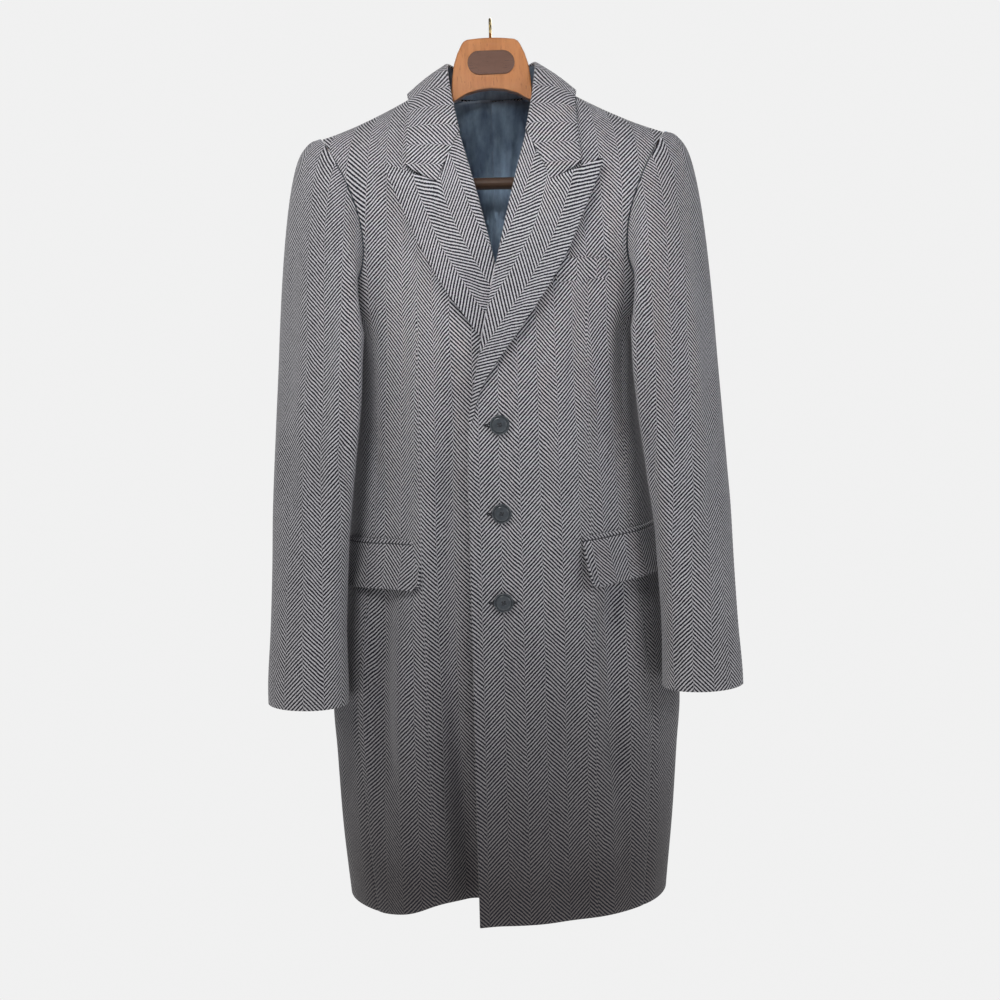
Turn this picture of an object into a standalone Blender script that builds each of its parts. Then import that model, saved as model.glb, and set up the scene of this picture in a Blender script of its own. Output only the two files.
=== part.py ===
# Single-breasted herringbone overcoat with peak lapels, buttoned left over right,
# hanging on a broad wooden hanger.
#
# Frame: metres, +Z up, the coat's front faces -Y, the wearer's left is +X.
# The origin is the inside top of the hanger's hook, where a rail or a nail carries it.
#
# The coat's body is one closed surface of flat oval sections that closes into a ridge
# along the shoulders. Every panel is a wall of cloth on a patch of that surface, and all
# that lies on a panel is the same surface again, moved out along its normal.

import math

import bmesh
import bpy
from mathutils import Vector

# ---------------------------------------------------------------- driving dimensions
CLOTH = 0.0022               # wall of the overcoat cloth with its canvas
SEAM = 0.0003                # clearance between neighbouring pieces
PLY = 0.0005                 # clearance between stacked layers
COLLAR_CLEAR = 0.0018        # the collar's leaf stands this far off the shoulders

HEM_Z = -1.041               # lower edge of the coat
COLLAR_FULLNESS = 0.0022     # how far the collar leaf swells between its edges
HEM_TURN_X = -0.158          # where the right front's hem begins to rise
HEM_TURN_WIDTH = 0.09
UNDERLAP_RISE = 0.019        # the right front's corner hangs this much higher
UNDERLAP_FALL = 0.034        # and swings back this far under the left front
NECK_X = 0.074               # neck point, where shoulder seam and collar seam meet
SHOULDER_X = 0.199           # end of the shoulder seam
SHOULDER_ROUND = 0.090       # drop over which the shoulder swells to full depth
BACK_NECK_Z = -0.082

FRONT_EDGE_X = -0.035        # left front's edge, past the button line
UNDERLAP_EDGE_X = 0.030      # right front's edge, hidden under the left
BREAK_Z = -0.468             # where the lapels start to turn
GORGE_Z = -0.136             # where collar and lapel meet on the roll line
ROLL_TOP_X = 0.039           # roll line at the gorge

LINING = 0.0012
LINING_GAP = 0.0020

ARM_TOP_Z = -0.1316
ARM_FRONT_Z = -0.259         # height of the armhole's foremost point
ARM_LOW_Z = -0.325           # armpit
ARM_FRONT_X = 0.151
ARMHOLE_GAP = 0.0030         # seam allowance between sleeve and body, on coarse facets
SEAM_LOW_ANGLE = 54.5        # side seams, degrees round from the centre front
SEAM_TOP_ANGLE = 64.0

FOLD_RADIUS = 0.00245        # outer radius of a turned edge: two walls and a ply
FOLD_INNER = 0.00025

BUTTON_Z = (-0.465, -0.5645, -0.665)
BUTTON_RADIUS = 0.0112
BUTTON_HOLE_RADIUS = 0.0010
BUTTON_HOLE_OFFSET = 0.0021  # each of the four holes from the button's centre
CUFF_BUTTON_RADIUS = 0.0068
CUFF_BUTTON_PITCH = 0.0141
CUFF_BUTTON_SEAT = 0.0021    # clears the sleeve's curve under the button
CUFF_BUTTON_RISE = 0.020     # lowest cuff button above the sleeve's edge

FLAP_TOP_Z = -0.600
FLAP_HEIGHT = 0.051
FLAP_LENGTH = 0.145
FLAP_START_X = 0.0905
FLAP_CORNER = 0.008
JET_HEIGHT = 0.0055

WELT_TOP_Z = -0.2810
WELT_HEIGHT = 0.0235
WELT_INNER_X = 0.067
WELT_OUTER_X = 0.1275

ARM_START_X = 0.0482         # hanger arms, from beside the head to the shoulder ends
ARM_END_X = 0.1925
ARM_CLEAR = 0.0022
POST_X = 0.150
POST_RADIUS = 0.0045
HEAD_TOP_Z = -0.0203
HEAD_HALF_DEPTH = 0.0085
BAR_Z = -0.1867
BAR_RADIUS = 0.0070
BAR_HALF_LENGTH = 0.158
HOOK_WIRE = 0.0033
HOOK_INNER_RADIUS = 0.0078

# Body sections: height, half width at the sides, reach to the front and to the back.
BODY_ROWS = (
    # z,      half_width, front, back
    (-0.030, 0.246, 0.030, 0.040),
    (-0.080, 0.241, 0.043, 0.060),
    (-0.130, 0.235, 0.059, 0.077),
    (-0.200, 0.214, 0.078, 0.095),
    (-0.260, 0.197, 0.092, 0.104),
    (-0.325, 0.184, 0.103, 0.108),
    (-0.360, 0.166, 0.107, 0.107),
    (-0.450, 0.166, 0.115, 0.104),
    (-0.550, 0.179, 0.119, 0.105),
    (-0.630, 0.189, 0.122, 0.109),
    (-0.720, 0.203, 0.124, 0.114),
    (-0.800, 0.212, 0.126, 0.118),
    (-0.860, 0.209, 0.127, 0.121),
    (-0.950, 0.2035, 0.129, 0.124),
    (-1.041, 0.1945, 0.130, 0.126),
)

# Large soft folds of the body: where they run, how wide and how deep (inward positive).
FOLD_ROWS = (
    # facing, x_top,  x_low,  z_top,  z_low,  width,  depth
    (-1, -0.118, -0.112, -0.50, -1.10, 0.026, -0.004),
    (-1, 0.132, 0.128, -0.34, -0.90, 0.020, 0.005),
    (-1, -0.132, -0.126, -0.34, -0.84, 0.020, 0.006),
    (-1, 0.060, 0.075, -0.72, -1.10, 0.028, 0.004),
    (1, -0.070, -0.085, -0.30, -1.10, 0.024, 0.006),
    (1, 0.078, 0.070, -0.38, -1.10, 0.026, 0.007),
    (1, 0.000, -0.010, -0.20, -0.75, 0.018, 0.003),
)

# Sleeve sections below the armhole: centre, half width, half depth and how far the
# section leans (its body side swings forward, its outer side back).
SLEEVE_ROWS = (
    # z,     centre_x, centre_y, half_width, half_depth, lean
    (-0.360, 0.2085, -0.031, 0.0545, 0.0460, 0.80),
    (-0.450, 0.2165, -0.041, 0.0530, 0.0450, 0.75),
    (-0.550, 0.2225, -0.055, 0.0490, 0.0440, 0.60),
    (-0.630, 0.2248, -0.066, 0.0468, 0.0430, 0.45),
    (-0.700, 0.2275, -0.076, 0.0460, 0.0425, 0.30),
    (-0.760, 0.2290, -0.084, 0.0475, 0.0430, 0.15),
    (-0.800, 0.2290, -0.088, 0.0470, 0.0430, 0.10),
)
CUFF_Z = {1: -0.7720, -1: -0.7830}       # left and right sleeve ends
SLEEVE_TURN = {1: 36.0, -1: 14.0}        # how far each sleeve is turned at the cuff
SLEEVE_SWING = 60.0                      # the ring's turn against the armhole
SLEEVE_PUFF = 0.010                      # fullness of the sleeve under the arm
SLEEVE_HIND = -20.0                      # hind-arm seam, degrees round from the top
SLEEVE_FORE = 160.0                      # fore-arm seam, on the body side

# Lapel outer edge, from the break up to the peak.
LAPEL_EDGE_ROWS = (
    # z,      x
    (-0.4640, -0.0315),
    (-0.4245, -0.0195),
    (-0.3945, -0.0008),
    (-0.3690, 0.0176),
    (-0.3405, 0.0373),
    (-0.3130, 0.0566),
    (-0.2725, 0.0795),
    (-0.2335, 0.0975),
    (-0.1930, 0.1165),
    (-0.1745, 0.1218),
)
# Top of the lapel, from the roll line along the gorge seam to the peak.
LAPEL_TOP = ((0.0390, -0.1360), (0.0515, -0.1640), (0.0635, -0.1930),
             (0.0925, -0.1815), (0.1225, -0.1705))
# End of the collar, along the same seam and on to its own corner.
COLLAR_END = ((0.0395, -0.1355), (0.0523, -0.1632), (0.0642, -0.1919),
              (0.0830, -0.1830), (0.0985, -0.1725))

# Collar stations from the centre back round to the gorge.
COLLAR_ROWS = (
    # roll_x, roll_y,  roll_z,  seam_x, seam_z,  edge_x, edge_z,  facing
    (0.0000, 0.0620, -0.0520, 0.0000, -0.0820, 0.0000, -0.1020, 1),
    (0.0220, 0.0570, -0.0500, 0.0270, -0.0815, 0.0360, -0.1010, 1),
    (0.0410, 0.0400, -0.0475, 0.0530, -0.0795, 0.0680, -0.0985, 1),
    (0.0520, 0.0150, -0.0470, 0.0740, None, 0.0940, None, 1),
    (0.0525, -0.0120, -0.0590, 0.0690, -0.0930, 0.0945, -0.1020, -1),
    (0.0490, -0.0350, -0.0850, 0.0590, -0.1110, 0.0957, -0.1260, -1),
    (0.0445, -0.0500, -0.1100, 0.0485, -0.1250, 0.0972, -0.1500, -1),
)

WOOL = (0.30, 0.30, 0.32)
WOOL_DARK = (0.24, 0.24, 0.26)
SATIN = (0.03, 0.05, 0.08)
HORN = (0.03, 0.035, 0.045)
WOOD = (0.50, 0.20, 0.07)
WOOD_DARK = (0.20, 0.09, 0.05)
BRASS = (0.75, 0.58, 0.28)


# ---------------------------------------------------------------- small tools
def remove_everything():
    for item in list(bpy.data.objects):
        bpy.data.objects.remove(item, do_unlink=True)


def material(name, colour, roughness, metallic=0.0):
    made = bpy.data.materials.new(name)
    made.use_nodes = True
    shader = made.node_tree.nodes["Principled BSDF"]
    shader.inputs["Base Color"].default_value = (*colour, 1.0)
    shader.inputs["Roughness"].default_value = roughness
    shader.inputs["Metallic"].default_value = metallic
    return made


def smooth(value):
    value = min(1.0, max(0.0, value))
    return value * value * (3.0 - 2.0 * value)


def mix(low, high, share):
    return low + (high - low) * share


def spread(count):
    return [index / count for index in range(count + 1)]


# Reads a table at a height or station by a curve through its rows.
def lookup(rows, key, column, along=0):
    keys = [row[along] for row in rows]
    falling = keys[0] > keys[-1]
    place = 0
    last = len(rows) - 2
    while place < last and (key < keys[place + 1] if falling else key > keys[place + 1]):
        place += 1
    low, high = rows[place], rows[place + 1]
    gap = high[along] - low[along]
    share = (key - low[along]) / gap
    before = rows[max(place - 1, 0)]
    after = rows[min(place + 2, len(rows) - 1)]
    slope_low = (high[column] - before[column]) / (high[along] - before[along]) * gap
    slope_high = (after[column] - low[column]) / (after[along] - low[along]) * gap
    square, cube = share ** 2, share ** 3
    return ((2 * cube - 3 * square + 1) * low[column] + (cube - 2 * square + share) * slope_low
            + (3 * square - 2 * cube) * high[column] + (cube - square) * slope_high)


# Points at even shares of the length of a broken line.
def along_line(points, share):
    lengths = [math.dist(points[i], points[i + 1]) for i in range(len(points) - 1)]
    target = share * sum(lengths)
    for index, length in enumerate(lengths):
        if target <= length or index == len(lengths) - 1:
            part = target / length
            return tuple(mix(a, b, part) for a, b in zip(points[index], points[index + 1]))
        target -= length


def new_object(name, mesh, finish, angle=50.0):
    item = bpy.data.objects.new(name, mesh)
    bpy.context.scene.collection.objects.link(item)
    item.data.materials.append(finish)
    mesh.shade_smooth()
    mesh.set_sharp_from_angle(angle=math.radians(angle))
    return item


# The finished mesh of a closed form, with its faces turned outwards.
def closed_mesh(name, build):
    bmesh.ops.recalc_face_normals(build, faces=build.faces)
    if build.calc_volume(signed=True) < 0.0:
        bmesh.ops.reverse_faces(build, faces=build.faces)
    mesh = bpy.data.meshes.new(name)
    build.to_mesh(mesh)
    build.free()
    return mesh


# A closed wall between an outer and an inner grid of points.
def slab(name, outer, inner, finish, angle=50.0):
    build = bmesh.new()
    tall, wide = len(outer), len(outer[0])
    out = [[build.verts.new(point) for point in row] for row in outer]
    back = [[build.verts.new(point) for point in row] for row in inner]
    for i in range(tall - 1):
        for j in range(wide - 1):
            build.faces.new((out[i][j], out[i][j + 1], out[i + 1][j + 1], out[i + 1][j]))
            build.faces.new((back[i][j], back[i + 1][j], back[i + 1][j + 1], back[i][j + 1]))
    for i in range(tall - 1):
        build.faces.new((out[i][0], out[i + 1][0], back[i + 1][0], back[i][0]))
        build.faces.new((out[i + 1][-1], out[i][-1], back[i][-1], back[i + 1][-1]))
    for j in range(wide - 1):
        build.faces.new((out[0][j + 1], out[0][j], back[0][j], back[0][j + 1]))
        build.faces.new((out[-1][j], out[-1][j + 1], back[-1][j + 1], back[-1][j]))
    mesh = closed_mesh(name, build)
    return new_object(name, mesh, finish, angle)


# A solid through closed sections of equal length, with flat ends.
def loft(name, sections, finish, angle=40.0):
    build = bmesh.new()
    rings = [[build.verts.new(point) for point in section] for section in sections]
    count = len(rings[0])
    for lower, upper in zip(rings, rings[1:]):
        for j in range(count):
            step = (j + 1) % count
            build.faces.new((lower[j], lower[step], upper[step], upper[j]))
    build.faces.new(list(reversed(rings[0])))
    build.faces.new(rings[-1])
    mesh = closed_mesh(name, build)
    return new_object(name, mesh, finish, angle)


# ---------------------------------------------------------------- the coat's surface
def half_width(z):
    return lookup(BODY_ROWS, z, 1)


def reach(z, facing):
    return lookup(BODY_ROWS, z, 2 if facing < 0 else 3)


# The shoulder line: steep beside the neck, easing towards the sleeve.
def ridge(x):
    run = (abs(x) - 0.095) / 0.125
    if run < 0.0:
        return -0.0855 - 0.0690 * run
    return -0.0855 - 0.0520 * (1.0 - (1.0 - min(run, 1.0)) ** 1.35)


# The middle of the section, where the shoulder seam runs: back at the neck, forward at
# the shoulder ends, and plumb under the hook further down.
def middle(x, z):
    top = 0.012 - 0.024 * (min(abs(x), 0.22) / 0.2) ** 1.5
    return top * (1.0 - smooth((ridge(x) - z) / 0.25))


def fold_shift(x, z, facing):
    shift = 0.0
    for side, x_top, x_low, z_top, z_low, width, depth in FOLD_ROWS:
        if side != facing or z > z_top:
            continue
        fall = (z_top - z) / (z_top - z_low)
        line = mix(x_top, x_low, fall)
        grow = smooth(fall / 0.55) if z_low < HEM_Z else math.sin(math.pi * min(fall, 1.0)) ** 2
        shift += depth * grow * math.exp(-((x - line) / width) ** 2)
    fade = 1.0 - smooth((abs(x) / half_width(z) - 0.78) / 0.14)
    return -facing * shift * fade


def surface_value(x, y, z, facing):
    across = (y - middle(x, z) - fold_shift(x, z, facing)) / reach(z, facing)
    rise = min(1.0, (ridge(x) - z) / SHOULDER_ROUND)
    return across ** 2 - (1.0 - (x / half_width(z)) ** 2) * (1.0 - (1.0 - rise) ** 2)


# A point of the coat's outer surface at x and z, on its front or its back, and its normal.
def skin(x, z, facing):
    rise = min(1.0, max(0.0, (ridge(x) - z) / SHOULDER_ROUND))
    swell = max(0.0, 1.0 - (x / half_width(z)) ** 2) * (1.0 - (1.0 - rise) ** 2)
    y = middle(x, z) + fold_shift(x, z, facing) + facing * reach(z, facing) * math.sqrt(swell)
    step = 1e-5
    slope = Vector((
        surface_value(x + step, y, z, facing) - surface_value(x - step, y, z, facing),
        surface_value(x, y + step, z, facing) - surface_value(x, y - step, z, facing),
        surface_value(x, y, z + step, facing) - surface_value(x, y, z - step, facing)))
    return Vector((x, y, z)), slope.normalized()


# The same point moved out along the normal.
def lifted(x, z, facing, height):
    point, normal = skin(x, z, facing)
    return point + normal * height


# A point by its angle round the body: 0 centre front, 90 side, 180 centre back.
def lifted_round(side, angle, z, height):
    facing = -1 if angle < 90.0 else 1
    return lifted(side * half_width(z) * math.sin(math.radians(angle)), z, facing, height)


def roll_x(z):
    drop = GORGE_Z - z
    return ROLL_TOP_X - 0.265 * drop + 0.130 * drop ** 2


# How far the right front and its lapel are pressed in under the left front: one ply deep
# below the break and two above it, and further where the skirt swings back.
def covered(x, z):
    edge = FRONT_EDGE_X if z < BREAK_Z else roll_x(z)
    return smooth((x - edge + 0.040) / 0.034)


def tuck(x, z, layer):
    opening = smooth((z - BREAK_Z + 0.035) / 0.035)
    ply = (CLOTH + PLY) * (1.0 + opening) + 0.0009
    swing = UNDERLAP_FALL * smooth((-0.60 - z) / 0.40) * smooth((x + 0.125) / 0.090)
    low = 0.0024 * opening * layer * smooth((x - roll_x(z) + 0.060) / 0.034)
    return ply * covered(x, z) + swing + low


# ---------------------------------------------------------------- armhole and sleeve
def arm_x(z):
    if z > ARM_FRONT_Z:
        share = (z - ARM_FRONT_Z) / (ARM_TOP_Z - ARM_FRONT_Z)
        return mix(ARM_FRONT_X, SHOULDER_X, max(0.0, share) ** 1.75)
    share = (ARM_FRONT_Z - z) / (ARM_FRONT_Z - ARM_LOW_Z)
    return mix(ARM_FRONT_X, half_width(ARM_LOW_Z), min(1.0, share) ** 2.6)


# Height of the armhole's lower curve at an angle round the body.
def arm_low(angle):
    z = ARM_LOW_Z
    for _ in range(12):
        x = half_width(z) * math.sin(math.radians(angle))
        share = max(0.0, (x - ARM_FRONT_X) / (half_width(ARM_LOW_Z) - ARM_FRONT_X))
        z = ARM_FRONT_Z + (ARM_LOW_Z - ARM_FRONT_Z) * min(1.0, share) ** (1 / 2.6)
    return z


# The armhole's loop: 0 at the shoulder, 90 in front, 180 under the arm, 270 behind.
def armhole(side, turn, height=0.0):
    z = mix(ARM_TOP_Z, ARM_LOW_Z, (1.0 - math.cos(math.radians(turn))) / 2.0)
    facing = -1 if turn % 360.0 < 180.0 else 1
    x = min(arm_x(z), half_width(z))
    z = min(z, ridge(x))
    return lifted(side * x, z, facing, height)


def sleeve_ring(side, turn, z):
    lag = turn + SLEEVE_SWING * math.sin(math.radians(turn / 2.0)) ** 2
    lag += SLEEVE_TURN[side] * smooth((SLEEVE_ROWS[0][0] - z) / 0.38)
    angle = math.radians(lag)
    centre_x, centre_y, wide, deep, lean = (lookup(SLEEVE_ROWS, z, k) for k in range(1, 6))
    x = centre_x + wide * math.cos(angle)
    y = centre_y - deep * math.sin(angle) + lean * wide * math.cos(angle)
    return Vector((side * x, y, z))


# The sleeve's surface. Stage 0 to 1 is the crown, from the armhole to the upper arm, and
# 1 to 2 is the sleeve down to its end.
def sleeve_point(side, turn, stage):
    if stage > 1.0:
        top = SLEEVE_ROWS[0][0]
        end = CUFF_Z[side]
        return sleeve_ring(side, turn, mix(top, end, stage - 1.0))
    start = armhole(side, turn)
    final = sleeve_ring(side, turn, SLEEVE_ROWS[0][0])
    crown = math.cos(math.radians(turn / 2.0)) ** 2
    out = max(stage, 0.0) ** (0.90 - 0.30 * crown)
    down = max(stage, 0.0) ** (1.20 + 0.80 * crown)
    puff = armhole(side, turn, 1.0) - start
    puff *= SLEEVE_PUFF * (1.0 - crown) * math.sin(math.pi * max(stage, 0.0) ** 0.7)
    return puff + Vector((mix(start.x, final.x, out), mix(start.y, final.y, out),
                          mix(start.z, final.z, down)))


def sleeve_skin(side, turn, stage, depth):
    reach_in = 0.02
    low = max(stage - reach_in, 0.0)
    run = sleeve_point(side, turn, min(stage + reach_in, 2.0)) - sleeve_point(side, turn, low)
    round_ = sleeve_point(side, turn + 2.0, max(stage, 0.004))
    round_ -= sleeve_point(side, turn - 2.0, max(stage, 0.004))
    normal = run.cross(round_).normalized() * side
    return sleeve_point(side, turn, stage) - normal * depth


def build_sleeve(side, word, finish):
    stages = [share ** 1.25 for share in spread(7)]
    stages[0] = 0.006
    stages += [1.0 + share for share in spread(6)[1:]]
    gap = 0.25
    pieces = (
        ("topsleeve_" + word, SLEEVE_HIND + gap, SLEEVE_FORE - gap, 11),
        ("undersleeve_" + word, SLEEVE_FORE + gap, SLEEVE_HIND + 360.0 - gap, 7),
    )
    for name, first, last, count in pieces:
        turns = [mix(first, last, share) for share in spread(count)]
        outer = [[sleeve_skin(side, turn, stage, 0.0) for turn in turns] for stage in stages]
        inner = [[sleeve_skin(side, turn, stage, CLOTH) for turn in turns] for stage in stages]
        slab(name, outer, inner, finish)


# ---------------------------------------------------------------- body panels
def seam_angle(z):
    return mix(SEAM_LOW_ANGLE, SEAM_TOP_ANGLE, smooth((z + 0.60) / 0.28))


def front_edge_x(z, side):
    if z >= BREAK_Z:
        return roll_x(z)
    ease = smooth((BREAK_Z - z) / 0.02)
    outer = -FRONT_EDGE_X if side > 0 else UNDERLAP_EDGE_X
    return -mix(-roll_x(z), outer, ease)


def hem(x, side):
    if side > 0:
        return HEM_Z
    return HEM_Z + UNDERLAP_RISE * smooth((x - HEM_TURN_X) / HEM_TURN_WIDTH)


def neckline(share, facing):
    rows = COLLAR_ROWS[:4] if facing > 0 else COLLAR_ROWS[:2:-1]
    points = [(row[3], ridge(row[3]) if row[4] is None else row[4]) for row in rows]
    if facing < 0:
        points.insert(0, (ROLL_TOP_X, GORGE_Z))
    return along_line(points, share)


# One front or back panel: its inner boundary is the front edge, the roll line and the
# neckline, or the centre back seam and the neckline; its outer one the side seam and the
# armhole; and its top the shoulder seam.
def build_panel(name, side, facing, finish, columns):
    corner_z = arm_low(SEAM_TOP_ANGLE)
    turn_share = 0.74 if facing < 0 else 0.86
    rows = []
    for share in spread(10)[:-1]:
        z = mix(HEM_Z, corner_z, share)
        limit = half_width(z) * math.sin(math.radians(seam_angle(z)))
        start = front_edge_x(z, side) if facing < 0 else 0.0
        row = []
        for part in spread(columns):
            x = mix(start, limit - SEAM, part)
            low = hem(side * x, side) if facing < 0 else HEM_Z
            row.append((x, mix(low, corner_z, share)))
        rows.append(row)
    for share in spread(9):
        level = 1.0 - (1.0 - share) ** 1.8
        if level < turn_share:
            top = GORGE_Z if facing < 0 else BACK_NECK_Z
            z = mix(corner_z, top, level / turn_share)
            inner = (roll_x(z) if facing < 0 else 0.0, z)
        else:
            inner = neckline((level - turn_share) / (1.0 - turn_share), facing)
        outer_z = mix(corner_z, ridge(SHOULDER_X), level)
        outer = (arm_x(outer_z) - ARMHOLE_GAP * (1.0 - level), outer_z)
        row = []
        for part in spread(columns):
            x, z = mix(inner[0], outer[0], part), mix(inner[1], outer[1], part)
            flat = mix(ridge(NECK_X), ridge(SHOULDER_X), (x - NECK_X) / (SHOULDER_X - NECK_X))
            if x > NECK_X:
                z += (ridge(x) - flat) * level ** 5
            row.append((x, z))
        rows.append(row)
    centre = 0.0 if facing < 0 else SEAM / 2
    outer_grid, inner_grid = [], []
    for row in rows:
        last = row is rows[-1]
        line_out, line_in = [], []
        for x, z in row:
            world_x = side * max(x, centre) if facing > 0 else side * x
            shift = tuck(world_x, z, 1) if facing < 0 and side < 0 else 0.0
            out = lifted(world_x, z, facing, -shift)
            inside = lifted(world_x, z, facing, -shift - CLOTH)
            if last:
                out.y += facing * SEAM / 2
                inside.y += facing * SEAM / 2
            if facing > 0 and x <= SEAM:
                out.x = inside.x = side * SEAM / 2
            line_out.append(out)
            line_in.append(inside)
        outer_grid.append(line_out)
        inner_grid.append(line_in)
    return slab(name, outer_grid, inner_grid, finish)


def build_side(name, side, finish):
    outer_grid, inner_grid = [], []
    columns = spread(5)
    for share in spread(10):
        line_out, line_in = [], []
        for part in columns:
            top_angle = mix(SEAM_TOP_ANGLE, 180.0 - SEAM_TOP_ANGLE, part)
            z = mix(HEM_Z, arm_low(top_angle) - ARMHOLE_GAP, share)
            first = seam_angle(z)
            angle = mix(first, 180.0 - first, part)
            line_out.append(lifted_round(side, angle, z, 0.0))
            line_in.append(lifted_round(side, angle, z, -CLOTH))
        outer_grid.append(line_out)
        inner_grid.append(line_in)
    return slab(name, outer_grid, inner_grid, finish)


# ---------------------------------------------------------------- lapels and collar
def build_lapel(name, side, finish):
    stations = spread(12)
    across = spread(6)
    outer_grid, inner_grid = [], []
    lowest = LAPEL_EDGE_ROWS[0]
    for share in stations:
        rise = share ** 0.9
        root_z = mix(BREAK_Z + 0.006, GORGE_Z, rise)
        root = (roll_x(root_z), root_z)
        edge_z = mix(lowest[0], LAPEL_EDGE_ROWS[-1][0], rise)
        edge = (lookup(LAPEL_EDGE_ROWS, edge_z, 1), edge_z)
        bend = smooth((share - 0.55) / 0.45)
        blend_edge = tuple(mix(a, b, bend * share ** 6) for a, b in zip(edge, LAPEL_TOP[-1]))
        line = []
        for part in across:
            straight = (mix(root[0], blend_edge[0], part), mix(root[1], blend_edge[1], part))
            top = along_line(LAPEL_TOP, part)
            chord = tuple(mix(a, b, part) for a, b in zip(LAPEL_TOP[0], LAPEL_TOP[-1]))
            line.append((straight[0] + (top[0] - chord[0]) * bend,
                         straight[1] + (top[1] - chord[1]) * bend))
        width = math.dist(root, blend_edge)
        heading = ((line[1][0] - root[0]), (line[1][1] - root[1]))
        size = math.hypot(*heading)
        heading = (heading[0] / size, heading[1] / size)
        stand = min(1.0, width / 0.05)
        out_row, in_row = [], []
        for step in range(4):
            swing = math.radians(-90.0 + 60.0 * step)
            for radius, row in ((FOLD_RADIUS, out_row), (FOLD_INNER, in_row)):
                reach_back = -radius * math.cos(swing)
                x = root[0] + heading[0] * reach_back
                z = root[1] + heading[1] * reach_back
                height = FOLD_INNER + radius * math.sin(swing)
                gap = SEAM if step == 0 else 0.0
                x -= heading[0] * gap
                z -= heading[1] * gap
                shift = tuck(side * x, z, 0) if side < 0 else 0.0
                row.append(lifted(side * x, z, -1, height - shift))
        for (x, z), part in zip(line[1:], across[1:]):
            belly = 0.0020 * stand * math.sin(math.pi * part) + 0.0030 * stand * part
            shift = 0.0
            if side < 0:
                belly *= 1.0 - covered(side * x, z)
                shift = tuck(side * x, z, 0)
            height = PLY + belly - shift
            out_row.append(lifted(side * x, z, -1, height + CLOTH))
            in_row.append(lifted(side * x, z, -1, height))
        outer_grid.append(out_row)
        inner_grid.append(in_row)
    return slab(name, outer_grid, inner_grid, finish)


# Moves a point out until it lies at least a height above the coat's surface.
def kept_above(point, height):
    point = point.copy()
    for _ in range(6):
        facing = -1 if point.y < middle(point.x, point.z) else 1
        step = 1e-5
        value = surface_value(*point, facing)
        slope = Vector([
            (surface_value(*(point + shift), facing) - surface_value(*(point - shift), facing))
            / (2.0 * step)
            for shift in (Vector((step, 0, 0)), Vector((0, step, 0)), Vector((0, 0, step)))])
        lack = height - value / slope.length
        if lack > 0.0:
            point += slope.normalized() * min(lack, 0.002)
    return point


# The collar at a station from 0, the centre back, to 1, the gorge: the centre of its
# turned edge, its seam on the neckline, and the outer edge of its leaf.
def collar_station(share):
    count = len(COLLAR_ROWS)
    place = share * count
    keyed = []
    for index, row in enumerate(COLLAR_ROWS):
        seam_z = ridge(row[3]) if row[4] is None else row[4]
        edge_z = ridge(row[5]) if row[6] is None else row[6]
        seam = skin(row[3], seam_z, row[7])[0]
        edge, normal = skin(row[5], edge_z, row[7])
        edge = edge + normal * (PLY + CLOTH)
        keyed.append((index, *row[:3], *seam, *edge, *normal))
    gorge = lifted(ROLL_TOP_X, GORGE_Z, -1, FOLD_INNER)
    tip, normal = skin(*COLLAR_END[-1], -1)
    tip = tip + normal * (PLY + CLOTH)
    keyed.append((count, *gorge, *skin(ROLL_TOP_X, GORGE_Z, -1)[0], *tip, *normal))
    values = [lookup(keyed, place, column) for column in range(1, 13)]
    return [Vector(values[start:start + 3]) for start in (0, 3, 6, 9)]


def collar_rows():
    leaf = (0.0, 0.3, 0.61, 0.81, 1.0)
    shares = spread(13)
    shares[-1] = 0.986
    fall_out, fall_in, stand_out, stand_in = [], [], [], []
    for share in shares:
        root, seam, edge, normal = collar_station(share)
        ahead = collar_station(min(share + 0.02, 1.0))[0]
        behind = collar_station(max(share - 0.02, 0.0))[0]
        if share < 0.02:
            behind = Vector((-ahead.x, ahead.y, ahead.z))
        tangent = (ahead - behind).normalized()
        down = edge - root
        down = (down - tangent * down.dot(tangent)).normalized()
        out = tangent.cross(down)
        if out.dot(normal) < 0.0:
            out = -out
        bend = smooth((share - 0.62) / 0.38)
        row_out, row_in = [], []
        for step in range(5):
            swing = math.radians(-90.0 + 45.0 * step)
            for radius, row in ((FOLD_RADIUS, row_out), (FOLD_INNER, row_in)):
                row.append(root - down * radius * math.cos(swing) + out * radius * math.sin(swing))
        for part in leaf[1:]:
            top = root + out * FOLD_RADIUS
            straight = top.lerp(edge, part)
            bulge = COLLAR_FULLNESS * math.sin(math.pi * part) * (1.0 - 0.6 * bend)
            point = straight + (out + normal).normalized() * bulge
            spot = along_line(COLLAR_END, part)
            lying, lying_normal = skin(*spot, -1)
            lying = lying + lying_normal * (PLY + CLOTH + 0.0012 * math.sin(math.pi * part))
            point = point.lerp(lying, bend ** 2 * smooth((share - 0.7) / 0.3))
            facing_out = (out * (1.0 - part) + normal * part).normalized()
            inside = kept_above(point - facing_out * CLOTH, COLLAR_CLEAR)
            row_out.append(kept_above(inside + facing_out * CLOTH, COLLAR_CLEAR + CLOTH))
            row_in.append(inside)
        fall_out.append(row_out)
        fall_in.append(row_in)
        wall = seam - root
        wall = (wall - tangent * wall.dot(tangent))
        normal_seam = skin(seam.x, seam.z, -1 if seam.y < middle(seam.x, seam.z) else 1)[1]
        row_out, row_in = [], []
        for part in spread(3):
            foot = seam - normal_seam * CLOTH / 2 - wall.normalized() * 0.0020
            line = (root - out * (FOLD_INNER + CLOTH / 2)).lerp(foot, part)
            line = line + wall.normalized() * 2.0 * SEAM * (1.0 - part)
            row_out.append(line + out * CLOTH / 2)
            row_in.append(line - out * CLOTH / 2)
        stand_out.append(row_out)
        stand_in.append(row_in)
    return fall_out, fall_in, stand_out, stand_in


def mirrored(rows):
    flipped = [[Vector((-point.x, point.y, point.z)) for point in row] for row in rows]
    return list(reversed(flipped)) + rows[1:]


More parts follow.
